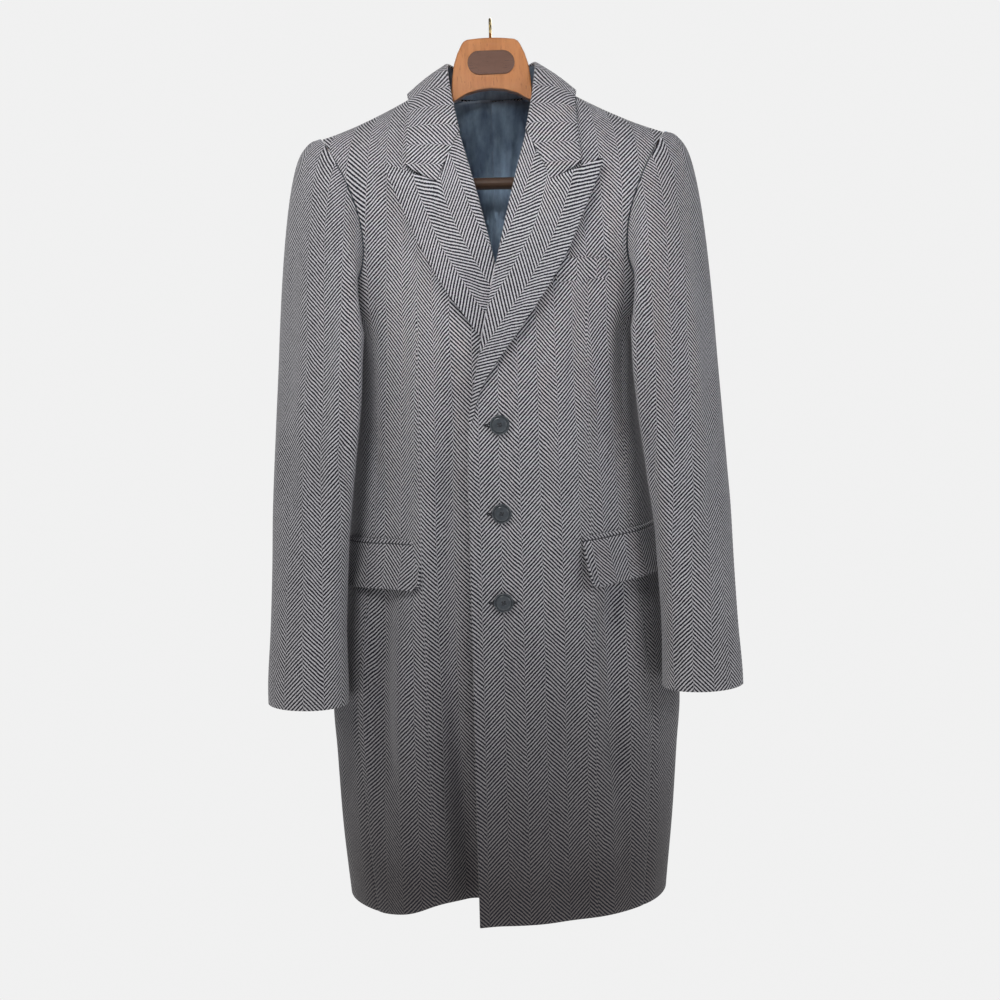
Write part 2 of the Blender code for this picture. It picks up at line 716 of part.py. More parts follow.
def build_collar(finish):
    fall_out, fall_in, stand_out, stand_in = collar_rows()
    for grid in (fall_out, fall_in, stand_out, stand_in):
        for point in grid[0]:
            point.x = 0.0
    slab("collar", mirrored(fall_out), mirrored(fall_in), finish)
    slab("collar_stand", mirrored(stand_out[:-1]), mirrored(stand_in[:-1]), finish)


# ---------------------------------------------------------------- pockets and buttons
# A flat piece lying on the front: rows of (angle round, height) made into a wall.
def lying_piece(name, side, rows, gap, thick, finish):
    outer = [[lifted_round(side, angle, z, gap + thick) for angle, z in row] for row in rows]
    inner = [[lifted_round(side, angle, z, gap) for angle, z in row] for row in rows]
    return slab(name, outer, inner, finish)


def angle_at(x, z):
    return math.degrees(math.asin(x / half_width(z)))


def build_flap(side, word, finish):
    tilt = 0.060 if side > 0 else -0.015
    start = angle_at(FLAP_START_X, FLAP_TOP_Z)
    end = 76.0
    corner = FLAP_CORNER / FLAP_LENGTH
    shares = [0.0, 0.3 * corner, corner] + [mix(corner, 1 - corner, k / 8) for k in range(1, 8)]
    shares += [1 - corner, 1 - 0.3 * corner, 1.0]
    flap_rows, jet_rows = [], []
    for level in spread(4):
        row = []
        for share in shares:
            inset = max(0.0, corner - min(share, 1 - share)) / corner
            rounding = FLAP_CORNER * (1.0 - math.sqrt(1.0 - inset ** 2)) if inset else 0.0
            height = FLAP_HEIGHT - rounding
            z = FLAP_TOP_Z + tilt * FLAP_LENGTH * share - height * level
            row.append((mix(start, end, share), z))
        flap_rows.append(row)
    for level in spread(1):
        row = []
        for share in shares:
            z = FLAP_TOP_Z + tilt * FLAP_LENGTH * share + SEAM + JET_HEIGHT * level
            row.append((mix(start, end, share), z))
        jet_rows.append(row)
    lying_piece("pocket_flap_" + word, side, flap_rows, PLY + SEAM, 0.0026, finish)
    lying_piece("pocket_jet_" + word, side, jet_rows, PLY + SEAM, 0.0014, finish)


def build_welt(finish):
    rows = []
    for level in spread(2):
        row = []
        for share in spread(4):
            z = WELT_TOP_Z - mix(WELT_HEIGHT + 0.003, WELT_HEIGHT - 0.002, share) * level
            x = mix(WELT_INNER_X, WELT_OUTER_X, share)
            row.append((angle_at(x, z), z))
        rows.append(row)
    lying_piece("breast_welt", 1, rows, PLY, 0.0016, finish)


# A turned disc: a profile of radius and height round its axis, closed at both poles.
def turned(name, profile, steps, finish):
    build = bmesh.new()
    rings = []
    for radius, height in profile:
        ring = []
        for step in range(steps):
            swing = 2.0 * math.pi * step / steps
            ring.append(build.verts.new((radius * math.cos(swing), radius * math.sin(swing), height)))
        rings.append(ring)
    for lower, upper in zip(rings, rings[1:]):
        for step in range(steps):
            ahead = (step + 1) % steps
            build.faces.new((lower[step], lower[ahead], upper[ahead], upper[step]))
    build.faces.new(list(reversed(rings[0])))
    build.faces.new(rings[-1])
    mesh = closed_mesh(name, build)
    return new_object(name, mesh, finish, 35.0)


def seat(item, point, normal):
    item.location = point
    item.rotation_mode = "QUATERNION"
    item.rotation_quaternion = Vector((0.0, 0.0, 1.0)).rotation_difference(normal)


def build_front_buttons(finish):
    edge = BUTTON_RADIUS
    profile = ((edge * 0.86, 0.0), (edge * 0.97, 0.0008), (edge, 0.0018), (edge * 0.96, 0.0031),
               (edge * 0.88, 0.0036), (edge * 0.76, 0.0035), (edge * 0.66, 0.0026))
    drill = []
    for step in range(4):
        swing = math.radians(45.0 + 90.0 * step)
        bpy.ops.mesh.primitive_cylinder_add(vertices=6, radius=BUTTON_HOLE_RADIUS, depth=0.02)
        item = bpy.context.object
        item.location = (BUTTON_HOLE_OFFSET * math.cos(swing), BUTTON_HOLE_OFFSET * math.sin(swing), 0)
        drill.append(item)
    for index, z in enumerate(BUTTON_Z):
        point, normal = skin(0.0, z, -1)
        button = turned("button_" + str(index + 1), profile, 16, finish)
        seat(button, point + normal * SEAM, normal)
        for number, item in enumerate(drill):
            cutter = item.copy()
            bpy.context.scene.collection.objects.link(cutter)
            cutter.parent = button
            cutter.hide_render = True
            cutter.display_type = "WIRE"
            cut = button.modifiers.new("hole_" + str(number), "BOOLEAN")
            cut.operation = "DIFFERENCE"
            cut.object = cutter
    for item in drill:
        bpy.data.objects.remove(item, do_unlink=True)


def build_cuff_buttons(finish):
    edge = CUFF_BUTTON_RADIUS
    profile = ((edge * 0.85, 0.0), (edge, 0.0010), (edge * 0.96, 0.0022), (edge * 0.80, 0.0026),
               (edge * 0.60, 0.0019))
    for side, word in ((1, "left"), (-1, "right")):
        span = SLEEVE_ROWS[0][0] - CUFF_Z[side]
        for index in range(4):
            rise = CUFF_BUTTON_RISE + CUFF_BUTTON_PITCH * index
            stage = 2.0 - rise / span
            turn = SLEEVE_HIND + 12.0
            point = sleeve_skin(side, turn, stage, 0.0)
            normal = (point - sleeve_skin(side, turn, stage, 0.01)).normalized()
            name = "cuff_button_" + word + "_" + str(index + 1)
            button = turned(name, profile, 10, finish)
            seat(button, point + normal * CUFF_BUTTON_SEAT, normal)


# The lining that shows inside the neck, hanging behind the opening from the collar seam.
def build_lining(finish):
    outer_grid, inner_grid = [], []
    lowest = -0.42
    for share in spread(6):
        line_out, line_in = [], []
        for part in spread(12):
            across = 2.0 * part - 1.0
            width = mix(0.125, 0.066, smooth((share - 0.55) / 0.45))
            x = across * width
            top = BACK_NECK_Z - 0.006 - 0.030 * (abs(x) / 0.066) ** 2 * 0.4
            z = mix(lowest, top, share)
            pleat = 0.0035 * math.exp(-(x / 0.006) ** 2)
            line_out.append(lifted(x, z, 1, -CLOTH - LINING_GAP))
            line_in.append(lifted(x, z, 1, -CLOTH - LINING_GAP - LINING - pleat))
        outer_grid.append(line_out)
        inner_grid.append(line_in)
    return slab("lining", outer_grid, inner_grid, finish)


# ---------------------------------------------------------------- the hanger
def build_head(finish):
    outline = []
    for step in range(9):
        across = mix(-1.0, 1.0, step / 8)
        outline.append((across * 0.0275, HEAD_TOP_Z - 0.0018 * across ** 2))
    right = [(0.0315, -0.0242), (0.0340, -0.0275), (0.0392, -0.0380), (0.0432, -0.0500),
             (0.0455, -0.0640), (0.0470, -0.0800), (0.0476, -0.0905), (0.0462, -0.0925),
             (0.0420, -0.0905), (0.0300, -0.0838), (0.0150, -0.0795)]
    outline += right
    outline.append((0.0, -0.0780))
    outline += [(-x, z) for x, z in reversed(right)]
    sections = []
    centre = Vector((0.0, 0.0, -0.055))
    for y, inset in ((-HEAD_HALF_DEPTH, 0.0018), (-HEAD_HALF_DEPTH + 0.0006, 0.0007),
                     (-HEAD_HALF_DEPTH + 0.0018, 0.0), (HEAD_HALF_DEPTH - 0.0018, 0.0),
                     (HEAD_HALF_DEPTH - 0.0006, 0.0007), (HEAD_HALF_DEPTH, 0.0018)):
        section = []
        for x, z in outline:
            arm = Vector((x, 0.0, z)) - centre
            shrink = 1.0 - inset / arm.length
            section.append((centre.x + arm.x * shrink, y, centre.z + arm.z * shrink))
        sections.append(section)
    return loft("hanger_head", sections, finish, 30.0)


def arm_share(x):
    return (x - ARM_START_X) / (ARM_END_X - ARM_START_X)


# The line an arm follows: the shoulder line, dipping under the collar seam at the neck.
def arm_top(x):
    return ridge(x) - 0.008 * (1.0 - smooth((x - 0.068) / 0.024))


# Height of an arm's flat underside.
def arm_underside(x):
    return arm_top(x) - CLOTH - ARM_CLEAR - mix(0.022, 0.019, arm_share(x))


# An arm fills the inside of the shoulder, down to its flat underside.
def build_arm(side, word, finish):
    sections = []
    inset = CLOTH + ARM_CLEAR
    for share in spread(9):
        x = mix(ARM_START_X, ARM_END_X, share)
        top = arm_top(x)
        deep = mix(0.0085, 0.0235, smooth(share / 0.9))
        front, back = [], []
        for rise in (0.20, 0.11, 0.045, 0.012):
            for facing, row in ((-1, front), (1, back)):
                point = lifted(side * x, top - rise * SHOULDER_ROUND, facing, -inset)
                mid = middle(x, top)
                reach_out = min(abs(point.y - mid), deep)
                row.append((side * x, mid + facing * reach_out, point.z))
        crest = lifted(side * x, top, -1, -inset)
        mid = middle(x, top)
        low = arm_underside(x)
        section = [(side * x, mid - deep * 0.72, low)] + front
        section.append((side * x, mid, crest.z))
        section += list(reversed(back)) + [(side * x, mid + deep * 0.72, low)]
        sections.append(section)
    return loft("hanger_arm_" + word, sections, finish, 35.0)


def rod(name, points, radius, sides, finish):
    sections = []
    for index, point in enumerate(points):
        ahead = Vector(points[min(index + 1, len(points) - 1)])
        behind = Vector(points[max(index - 1, 0)])
        tangent = (ahead - behind).normalized()
        guide = Vector((1.0, 0.0, 0.0)) if abs(tangent.x) < 0.5 else Vector((0.0, 1.0, 0.0))
        first = (guide - tangent * guide.dot(tangent)).normalized()
        second = tangent.cross(first)
        section = []
        for step in range(sides):
            swing = 2.0 * math.pi * step / sides
            section.append(Vector(point) + (first * math.cos(swing) + second * math.sin(swing)) * radius)
        sections.append(section)
    return loft(name, sections, finish, 40.0)


def build_hanger():
    wood = material("hanger_wood", WOOD, 0.30)
    build_head(wood)
    for side, word in ((1, "left"), (-1, "right")):
        build_arm(side, word, wood)
        under = arm_underside(POST_X + POST_RADIUS) - SEAM
        low = BAR_Z + BAR_RADIUS + SEAM
        post = [(side * POST_X, -0.004, low), (side * POST_X, -0.004, under)]
        rod("bar_post_" + word, post, POST_RADIUS, 12, wood)
    bar = [(-BAR_HALF_LENGTH, -0.004, BAR_Z), (0.0, -0.004, BAR_Z), (BAR_HALF_LENGTH, -0.004, BAR_Z)]
    rod("hanger_bar", bar, BAR_RADIUS, 16, wood)

    plate = []
    for step in range(24):
        swing = 2.0 * math.pi * step / 24
        across = 0.0137 if math.cos(swing) > 0 else -0.0137
        plate.append((across + 0.0137 * math.cos(swing), 0.0137 * math.sin(swing)))
    face = -HEAD_HALF_DEPTH - SEAM
    sections = []
    for y, scale in ((face - 0.0011, 0.97), (face - 0.0007, 1.0), (face, 1.0)):
        sections.append([(x * scale, y, -0.0487 + z * scale) for x, z in plate])
    loft("hanger_plate", sections, material("plate_wood", WOOD_DARK, 0.45), 30.0)

    wire = HOOK_WIRE / 2
    path_radius = HOOK_INNER_RADIUS + wire
    centre_z = -HOOK_INNER_RADIUS
    points = []
    for step in range(17):
        swing = math.radians(mix(-25.0, 222.0, step / 16))
        points.append((0.0, path_radius * math.cos(swing), centre_z + path_radius * math.sin(swing)))
    points += [(0.0, -0.0042, -0.0165), (0.0, -0.0010, -0.0180), (0.0, 0.0, -0.0192),
               (0.0, 0.0, HEAD_TOP_Z + SEAM)]
    rod("hook", points, wire, 10, material("hook_brass", BRASS, 0.25, 1.0))


def main():
    remove_everything()
    wool = material("herringbone_wool", WOOL, 0.9)
    build_panel("front_left", 1, -1, wool, 9)
    build_panel("front_right", -1, -1, wool, 10)
    build_panel("back_left", 1, 1, wool, 6)
    build_panel("back_right", -1, 1, wool, 6)
    build_side("side_left", 1, wool)
    build_side("side_right", -1, wool)
    build_sleeve(1, "left", wool)
    build_sleeve(-1, "right", wool)
    facing = material("herringbone_facing", WOOL_DARK, 0.9)
    build_lapel("lapel_left", 1, facing)
    build_lapel("lapel_right", -1, facing)
    build_collar(facing)
    build_flap(1, "left", facing)
    build_flap(-1, "right", facing)
    build_welt(facing)
    horn = material("button_horn", HORN, 0.35)
    build_front_buttons(horn)
    build_cuff_buttons(horn)
    build_lining(material("satin_lining", SATIN, 0.35))
    build_hanger()


main()
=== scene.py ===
import math

import bmesh
import bpy
from mathutils import Matrix, Vector


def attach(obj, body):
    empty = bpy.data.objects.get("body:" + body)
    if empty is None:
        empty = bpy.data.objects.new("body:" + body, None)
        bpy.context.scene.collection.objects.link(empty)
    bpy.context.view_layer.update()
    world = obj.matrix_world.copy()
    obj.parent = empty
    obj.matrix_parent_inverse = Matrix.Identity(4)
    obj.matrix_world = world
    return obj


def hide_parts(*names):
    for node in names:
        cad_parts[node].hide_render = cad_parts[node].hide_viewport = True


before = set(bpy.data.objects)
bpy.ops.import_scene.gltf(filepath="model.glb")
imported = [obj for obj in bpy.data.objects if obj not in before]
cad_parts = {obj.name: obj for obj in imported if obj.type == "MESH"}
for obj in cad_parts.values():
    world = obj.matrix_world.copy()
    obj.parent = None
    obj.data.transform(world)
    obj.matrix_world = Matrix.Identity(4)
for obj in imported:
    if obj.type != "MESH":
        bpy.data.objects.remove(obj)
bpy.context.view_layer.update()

# The overcoat's sizes, in metres, the same as its solids'. x > 0 is the wearer's left.
clothPly = 0.0022           # wall of the overcoat cloth with its canvas
seamGap = 0.0003            # clearance between neighbouring pieces
plyGap = 0.0005             # clearance between stacked layers
collarClear = 0.0018        # the collar's leaf stands this far off the shoulders
collarFullness = 0.0022     # how far the collar leaf swells between its edges
foldRadius = 0.00245        # outer radius of a turned edge: two walls and a ply
foldInner = 0.00025

hemZ = -1.041               # lower edge of the coat
hemTurnX = -0.158           # where the right front's hem begins to rise
hemTurnWidth = 0.09
underlapRise = 0.019        # the right front's corner hangs this much higher
underlapFall = 0.034        # and swings back this far under the left front
neckX = 0.074               # neck point, where shoulder seam and collar seam meet
shoulderX = 0.199           # end of the shoulder seam
shoulderRound = 0.090       # drop over which the shoulder swells to full depth
backNeckZ = -0.082
overlapEdgeX = -0.035       # left front's edge, past the button line
underlapEdgeX = 0.030       # right front's edge, hidden under the left
breakZ = -0.468             # where the lapels start to turn
gorgeZ = -0.136             # where collar and lapel meet on the roll line
rollTopX = 0.039            # roll line at the gorge

armTopZ = -0.1316
armFrontZ = -0.259          # height of the armhole's foremost point
armFrontX = 0.151
armLowZ = -0.325            # armpit
armCurve = 2.6              # how sharply the armhole turns under the arm
seamLowAngle = 54.5         # side seams, degrees round from the centre front
seamTopAngle = 64.0

sides = ((1, "Left"), (-1, "Right"))
hangerArms = {1: "hanger_arm_left", -1: "hanger_arm_right"}

# Body sections: height, half width at the sides, reach to the front and to the back.
bodyRows = (
    # z,      halfWidth, front, back
    (-0.030, 0.246, 0.030, 0.040),
    (-0.080, 0.241, 0.043, 0.060),
    (-0.130, 0.235, 0.059, 0.077),
    (-0.200, 0.214, 0.078, 0.095),
    (-0.260, 0.197, 0.092, 0.104),
    (-0.325, 0.184, 0.103, 0.108),
    (-0.360, 0.166, 0.107, 0.107),
    (-0.450, 0.166, 0.115, 0.104),
    (-0.550, 0.179, 0.119, 0.105),
    (-0.630, 0.189, 0.122, 0.109),
    (-0.720, 0.203, 0.124, 0.114),
    (-0.800, 0.212, 0.126, 0.118),
    (-0.860, 0.209, 0.127, 0.121),
    (-0.950, 0.2035, 0.129, 0.124),
    (-1.041, 0.1945, 0.130, 0.126),
)

# Large soft folds of the body: where they run, how wide and how deep (inward positive).
foldRows = (
    # facing, xTop,  xLow,  zTop,  zLow,  width,  depth
    (-1, -0.118, -0.112, -0.50, -1.10, 0.026, -0.004),
    (-1, 0.132, 0.128, -0.34, -0.90, 0.020, 0.005),
    (-1, -0.132, -0.126, -0.34, -0.84, 0.020, 0.006),
    (-1, 0.060, 0.075, -0.72, -1.10, 0.028, 0.004),
    (1, -0.070, -0.085, -0.30, -1.10, 0.024, 0.006),
    (1, 0.078, 0.070, -0.38, -1.10, 0.026, 0.007),
    (1, 0.000, -0.010, -0.20, -0.75, 0.018, 0.003),
)

# Sleeve sections below the armhole: centre, half width, half depth and how far the
# section leans (its body side swings forward, its outer side back).
sleeveRows = (
    # z,     centreX, centreY, halfWidth, halfDepth, lean
    (-0.360, 0.2085, -0.031, 0.0545, 0.0460, 0.80),
    (-0.450, 0.2165, -0.041, 0.0530, 0.0450, 0.75),
    (-0.550, 0.2225, -0.055, 0.0490, 0.0440, 0.60),
    (-0.630, 0.2248, -0.066, 0.0468, 0.0430, 0.45),
    (-0.700, 0.2275, -0.076, 0.0460, 0.0425, 0.30),
    (-0.760, 0.2290, -0.084, 0.0475, 0.0430, 0.15),
    (-0.800, 0.2290, -0.088, 0.0470, 0.0430, 0.10),
)
cuffZ = {1: -0.7720, -1: -0.7830}       # left and right sleeve ends
sleeveTurn = {1: 36.0, -1: 14.0}        # how far each sleeve is turned at the cuff
sleeveSwing = 60.0                      # the ring's turn against the armhole
sleevePuff = 0.010                      # fullness of the sleeve under the arm
sleeveHind = -20.0                      # hind-arm seam, degrees round from the top
sleeveFore = 160.0                      # fore-arm seam, on the body side

# Lapel outer edge, from the break up to the peak.
lapelEdgeRows = (
    # z,      x
    (-0.4640, -0.0315),
    (-0.4245, -0.0195),
    (-0.3945, -0.0008),
    (-0.3690, 0.0176),
    (-0.3405, 0.0373),
    (-0.3130, 0.0566),
    (-0.2725, 0.0795),
    (-0.2335, 0.0975),
    (-0.1930, 0.1165),
    (-0.1745, 0.1218),
)
# Top of the lapel, from the roll line along the gorge seam to the peak.
lapelTop = ((0.0390, -0.1360), (0.0515, -0.1640), (0.0635, -0.1930),
             (0.0925, -0.1815), (0.1225, -0.1705))
# End of the collar, along the same seam and on to its own corner.
collarEnd = ((0.0395, -0.1355), (0.0523, -0.1632), (0.0642, -0.1919),
              (0.0830, -0.1830), (0.0985, -0.1725))

# Collar stations from the centre back round to the gorge.
collarRows = (
    # rollX, rollY,  rollZ,  seamX, seamZ,  edgeX, edgeZ,  facing
    (0.0000, 0.0620, -0.0520, 0.0000, -0.0820, 0.0000, -0.1020, 1),
    (0.0220, 0.0570, -0.0500, 0.0270, -0.0815, 0.0360, -0.1010, 1),
    (0.0410, 0.0400, -0.0475, 0.0530, -0.0795, 0.0680, -0.0985, 1),
    (0.0520, 0.0150, -0.0470, 0.0740, None, 0.0940, None, 1),
    (0.0525, -0.0120, -0.0590, 0.0690, -0.0930, 0.0945, -0.1020, -1),
    (0.0490, -0.0350, -0.0850, 0.0590, -0.1110, 0.0957, -0.1260, -1),
    (0.0445, -0.0500, -0.1100, 0.0485, -0.1250, 0.0972, -0.1500, -1),
)


def smooth(value):
    value = min(1.0, max(0.0, value))
    return value * value * (3.0 - 2.0 * value)


# A smooth bump of height one round a centre.
def hump(value, centre, width):
    return math.exp(-((value - centre) / width) ** 2)


def mix(low, high, share):
    return low + (high - low) * share


def spread(count):
    return [index / count for index in range(count + 1)]


# Reads a table at a height or station by a curve through its rows.
def lookup(rows, key, column):
    keys = [row[0] for row in rows]
    falling = keys[0] > keys[-1]
    place = 0
    last = len(rows) - 2
    while place < last and (key < keys[place + 1] if falling else key > keys[place + 1]):
        place += 1
    low, high = rows[place], rows[place + 1]
    gap = high[0] - low[0]
    share = (key - low[0]) / gap
    before = rows[max(place - 1, 0)]
    after = rows[min(place + 2, len(rows) - 1)]
    slopeLow = (high[column] - before[column]) / (high[0] - before[0]) * gap
    slopeHigh = (after[column] - low[column]) / (after[0] - low[0]) * gap
    square, cube = share ** 2, share ** 3
    return ((2 * cube - 3 * square + 1) * low[column] + (cube - 2 * square + share) * slopeLow
            + (3 * square - 2 * cube) * high[column] + (cube - square) * slopeHigh)


# Points at even shares of the length of a broken line.
def alongLine(points, share):
    lengths = [math.dist(points[i], points[i + 1]) for i in range(len(points) - 1)]
    target = share * sum(lengths)
    for index, length in enumerate(lengths):
        if target <= length or index == len(lengths) - 1:
            part = target / length
            return tuple(mix(a, b, part) for a, b in zip(points[index], points[index + 1]))
        target -= length


def halfWidth(z):
    return lookup(bodyRows, z, 1)


def reach(z, facing):
    return lookup(bodyRows, z, 2 if facing < 0 else 3)


# The shoulder line: steep beside the neck, easing towards the sleeve.
def ridge(x):
    run = (abs(x) - 0.095) / 0.125
    if run < 0.0:
        return -0.0855 - 0.0690 * run
    return -0.0855 - 0.0520 * (1.0 - (1.0 - min(run, 1.0)) ** 1.35)


# The middle of the section, where the shoulder seam runs: back at the neck, forward at
# the shoulder ends, and plumb under the hook further down.
def middle(x, z):
    top = 0.012 - 0.024 * (min(abs(x), 0.22) / 0.2) ** 1.5
    return top * (1.0 - smooth((ridge(x) - z) / 0.25))


def foldShift(x, z, facing):
    shift = 0.0
    for side, xTop, xLow, zTop, zLow, width, depth in foldRows:
        if side != facing or z > zTop:
            continue
        fall = (zTop - z) / (zTop - zLow)
        line = mix(xTop, xLow, fall)
        grow = smooth(fall / 0.55) if zLow < hemZ else math.sin(math.pi * min(fall, 1.0)) ** 2
        shift += depth * grow * hump(x, line, width)
    fade = 1.0 - smooth((abs(x) / halfWidth(z) - 0.78) / 0.14)
    return -facing * shift * fade


def surfaceValue(x, y, z, facing):
    across = (y - middle(x, z) - foldShift(x, z, facing)) / reach(z, facing)
    rise = min(1.0, (ridge(x) - z) / shoulderRound)
    return across ** 2 - (1.0 - (x / halfWidth(z)) ** 2) * (1.0 - (1.0 - rise) ** 2)


def slopeAt(x, y, z, facing):
    step = 1e-5
    return Vector((
        surfaceValue(x + step, y, z, facing) - surfaceValue(x - step, y, z, facing),
        surfaceValue(x, y + step, z, facing) - surfaceValue(x, y - step, z, facing),
        surfaceValue(x, y, z + step, facing) - surfaceValue(x, y, z - step, facing))) / (2.0 * step)


# A point of the coat's outer surface at x and z, on its front or its back, and its normal.
def skin(x, z, facing):
    rise = min(1.0, max(0.0, (ridge(x) - z) / shoulderRound))
    swell = max(0.0, 1.0 - (x / halfWidth(z)) ** 2) * (1.0 - (1.0 - rise) ** 2)
    y = middle(x, z) + foldShift(x, z, facing) + facing * reach(z, facing) * math.sqrt(swell)
    return Vector((x, y, z)), slopeAt(x, y, z, facing).normalized()


# The same point moved out along the normal.
def lifted(x, z, facing, height):
    point, normal = skin(x, z, facing)
    return point + normal * height


# An angle round the body, 0 at the centre front and 90 at the side, as x and as a facing.
def roundX(angle, z):
    return halfWidth(z) * math.sin(math.radians(angle))


def angleFacing(angle):
    return -1 if angle < 90.0 else 1


def facingOf(point):
    return -1 if point.y < middle(point.x, point.z) else 1


def rollX(z):
    drop = gorgeZ - z
    return rollTopX - 0.265 * drop + 0.130 * drop ** 2


# How far the right front and its lapel are pressed in under the left front: one ply deep
# below the break and two above it, and further where the skirt swings back.
def covered(x, z):
    edge = overlapEdgeX if z < breakZ else rollX(z)
    return smooth((x - edge + 0.040) / 0.034)


def tuck(x, z, layer):
    opening = smooth((z - breakZ + 0.035) / 0.035)
    ply = (clothPly + plyGap) * (1.0 + opening) + 0.0009
    swing = underlapFall * smooth((-0.60 - z) / 0.40) * smooth((x + 0.125) / 0.090)
    low = 0.0024 * opening * layer * smooth((x - rollX(z) + 0.060) / 0.034)
    return ply * covered(x, z) + swing + low


def armX(z):
    if z > armFrontZ:
        share = (z - armFrontZ) / (armTopZ - armFrontZ)
        return mix(armFrontX, shoulderX, max(0.0, share) ** 1.75)
    share = (armFrontZ - z) / (armFrontZ - armLowZ)
    return mix(armFrontX, halfWidth(armLowZ), min(1.0, share) ** armCurve)


# Height of the armhole's lower curve at an angle round the body.
def armLow(angle):
    z = armLowZ
    for _ in range(12):
        share = max(0.0, (roundX(angle, z) - armFrontX) / (halfWidth(armLowZ) - armFrontX))
        z = armFrontZ + (armLowZ - armFrontZ) * min(1.0, share) ** (1 / armCurve)
    return z


# The armhole's loop: 0 at the shoulder, 90 in front, 180 under the arm, 270 behind.
def armhole(side, turn, height=0.0):
    z = mix(armTopZ, armLowZ, (1.0 - math.cos(math.radians(turn))) / 2.0)
    facing = -1 if turn % 360.0 < 180.0 else 1
    x = min(armX(z), halfWidth(z))
    z = min(z, ridge(x))
    return lifted(side * x, z, facing, height)


sleeveTuck = {"deep": 0.0036, "at": -0.44, "reach": 0.11}      # where the sleeve hangs in


def sleeveRing(side, turn, z):
    lag = turn + sleeveSwing * math.sin(math.radians(turn / 2.0)) ** 2
    lag += sleeveTurn[side] * smooth((sleeveRows[0][0] - z) / 0.38)
    angle = math.radians(lag)
    centreX, centreY, wide, deep, lean = (lookup(sleeveRows, z, k) for k in range(1, 6))
    x = centreX + wide * math.cos(angle)
    y = centreY - deep * math.sin(angle) + lean * wide * math.cos(angle)
    tuckIn = sleeveTuck["deep"] * hump(z, sleeveTuck["at"], sleeveTuck["reach"])
    return Vector((side * (x - tuckIn), y, z))


# The sleeve's surface. Stage 0 to 1 is the crown, from the armhole to the upper arm, and
# 1 to 2 is the sleeve down to its end.
def sleevePoint(side, turn, stage):
    if stage > 1.0:
        return sleeveRing(side, turn, mix(sleeveRows[0][0], cuffZ[side], stage - 1.0))
    start = armhole(side, turn)
    final = sleeveRing(side, turn, sleeveRows[0][0])
    crown = math.cos(math.radians(turn / 2.0)) ** 2
    out = max(stage, 0.0) ** (0.90 - 0.30 * crown)
    down = max(stage, 0.0) ** (1.20 + 0.80 * crown)
    puff = armhole(side, turn, 1.0) - start
    puff *= sleevePuff * (1.0 - crown) * math.sin(math.pi * max(stage, 0.0) ** 0.7)
    return puff + Vector((mix(start.x, final.x, out), mix(start.y, final.y, out),
                          mix(start.z, final.z, down)))


def sleeveSkin(side, turn, stage, depth):
    reachIn = 0.02
    low = max(stage - reachIn, 0.0)
    run = sleevePoint(side, turn, min(stage + reachIn, 2.0)) - sleevePoint(side, turn, low)
    round_ = sleevePoint(side, turn + 2.0, max(stage, 0.004))
    round_ -= sleevePoint(side, turn - 2.0, max(stage, 0.004))
    normal = run.cross(round_).normalized() * side
    return sleevePoint(side, turn, stage) - normal * depth


def seamAngle(z):
    return mix(seamLowAngle, seamTopAngle, smooth((z + 0.60) / 0.28))


def frontEdgeX(z, side):
    if z >= breakZ:
        return rollX(z)
    ease = smooth((breakZ - z) / 0.02)
    outer = -overlapEdgeX if side > 0 else underlapEdgeX
    return -mix(-rollX(z), outer, ease)


def hem(x, side):
    if side > 0:
        return hemZ
    return hemZ + underlapRise * smooth((x - hemTurnX) / hemTurnWidth)


def neckline(share, facing):
    rows = collarRows[:4] if facing > 0 else collarRows[:2:-1]
    points = [(row[3], ridge(row[3]) if row[4] is None else row[4]) for row in rows]
    if facing < 0:
        points.insert(0, (rollTopX, gorgeZ))
    return alongLine(points, share)


# Moves a point out until it lies at least a height above the coat's surface.
def keptAbove(point, height):
    point = point.copy()
    for _ in range(6):
        facing = facingOf(point)
        slope = slopeAt(*point, facing)
        lack = height - surfaceValue(*point, facing) / slope.length
        if lack > 0.0:
            point += slope.normalized() * min(lack, 0.002)
    return point


# The collar at a station from 0, the centre back, to 1, the gorge: the centre of its
# turned edge, its seam on the neckline, and the outer edge of its leaf.
def collarStation(share):
    count = len(collarRows)
    place = share * count
    keyed = []
    for index, row in enumerate(collarRows):
        seamZ = ridge(row[3]) if row[4] is None else row[4]
        edgeZ = ridge(row[5]) if row[6] is None else row[6]
        seam = skin(row[3], seamZ, row[7])[0]
        edge, normal = skin(row[5], edgeZ, row[7])
        edge = edge + normal * (plyGap + clothPly)
        keyed.append((index, *row[:3], *seam, *edge, *normal))
    gorge = lifted(rollTopX, gorgeZ, -1, foldInner)
    tip, normal = skin(*collarEnd[-1], -1)
    tip = tip + normal * (plyGap + clothPly)
    keyed.append((count, *gorge, *skin(rollTopX, gorgeZ, -1)[0], *tip, *normal))
    values = [lookup(keyed, place, column) for column in range(1, 13)]
    return [Vector(values[start:start + 3]) for start in (0, 3, 6, 9)]


# A small shift of the cloth's surface by listed creases. Each runs from one place to
# another in the cloth's own measures; depth is inward.
def creaseShift(rows, across, along):
    shift = 0.0
    for acrossA, alongA, acrossB, alongB, width, depth in rows:
        spanAcross, spanAlong = acrossB - acrossA, alongB - alongA
        length = math.hypot(spanAcross, spanAlong)
        run = ((across - acrossA) * spanAcross + (along - alongA) * spanAlong) / length
        off = ((across - acrossA) * spanAlong - (along - alongA) * spanAcross) / length
        share = run / length
        if share < -0.1 or share > 1.1:
            continue
        bow = 0.10 * length * share * (1.0 - share)
        fade = smooth((share + 0.1) / 0.35) * smooth((1.1 - share) / 0.35)
        off = (off - bow) / width
        shift += depth * fade * (hump(off, 0.0, 1.0) - 0.35 * hump(abs(off), 2.0, 1.0))
    return shift


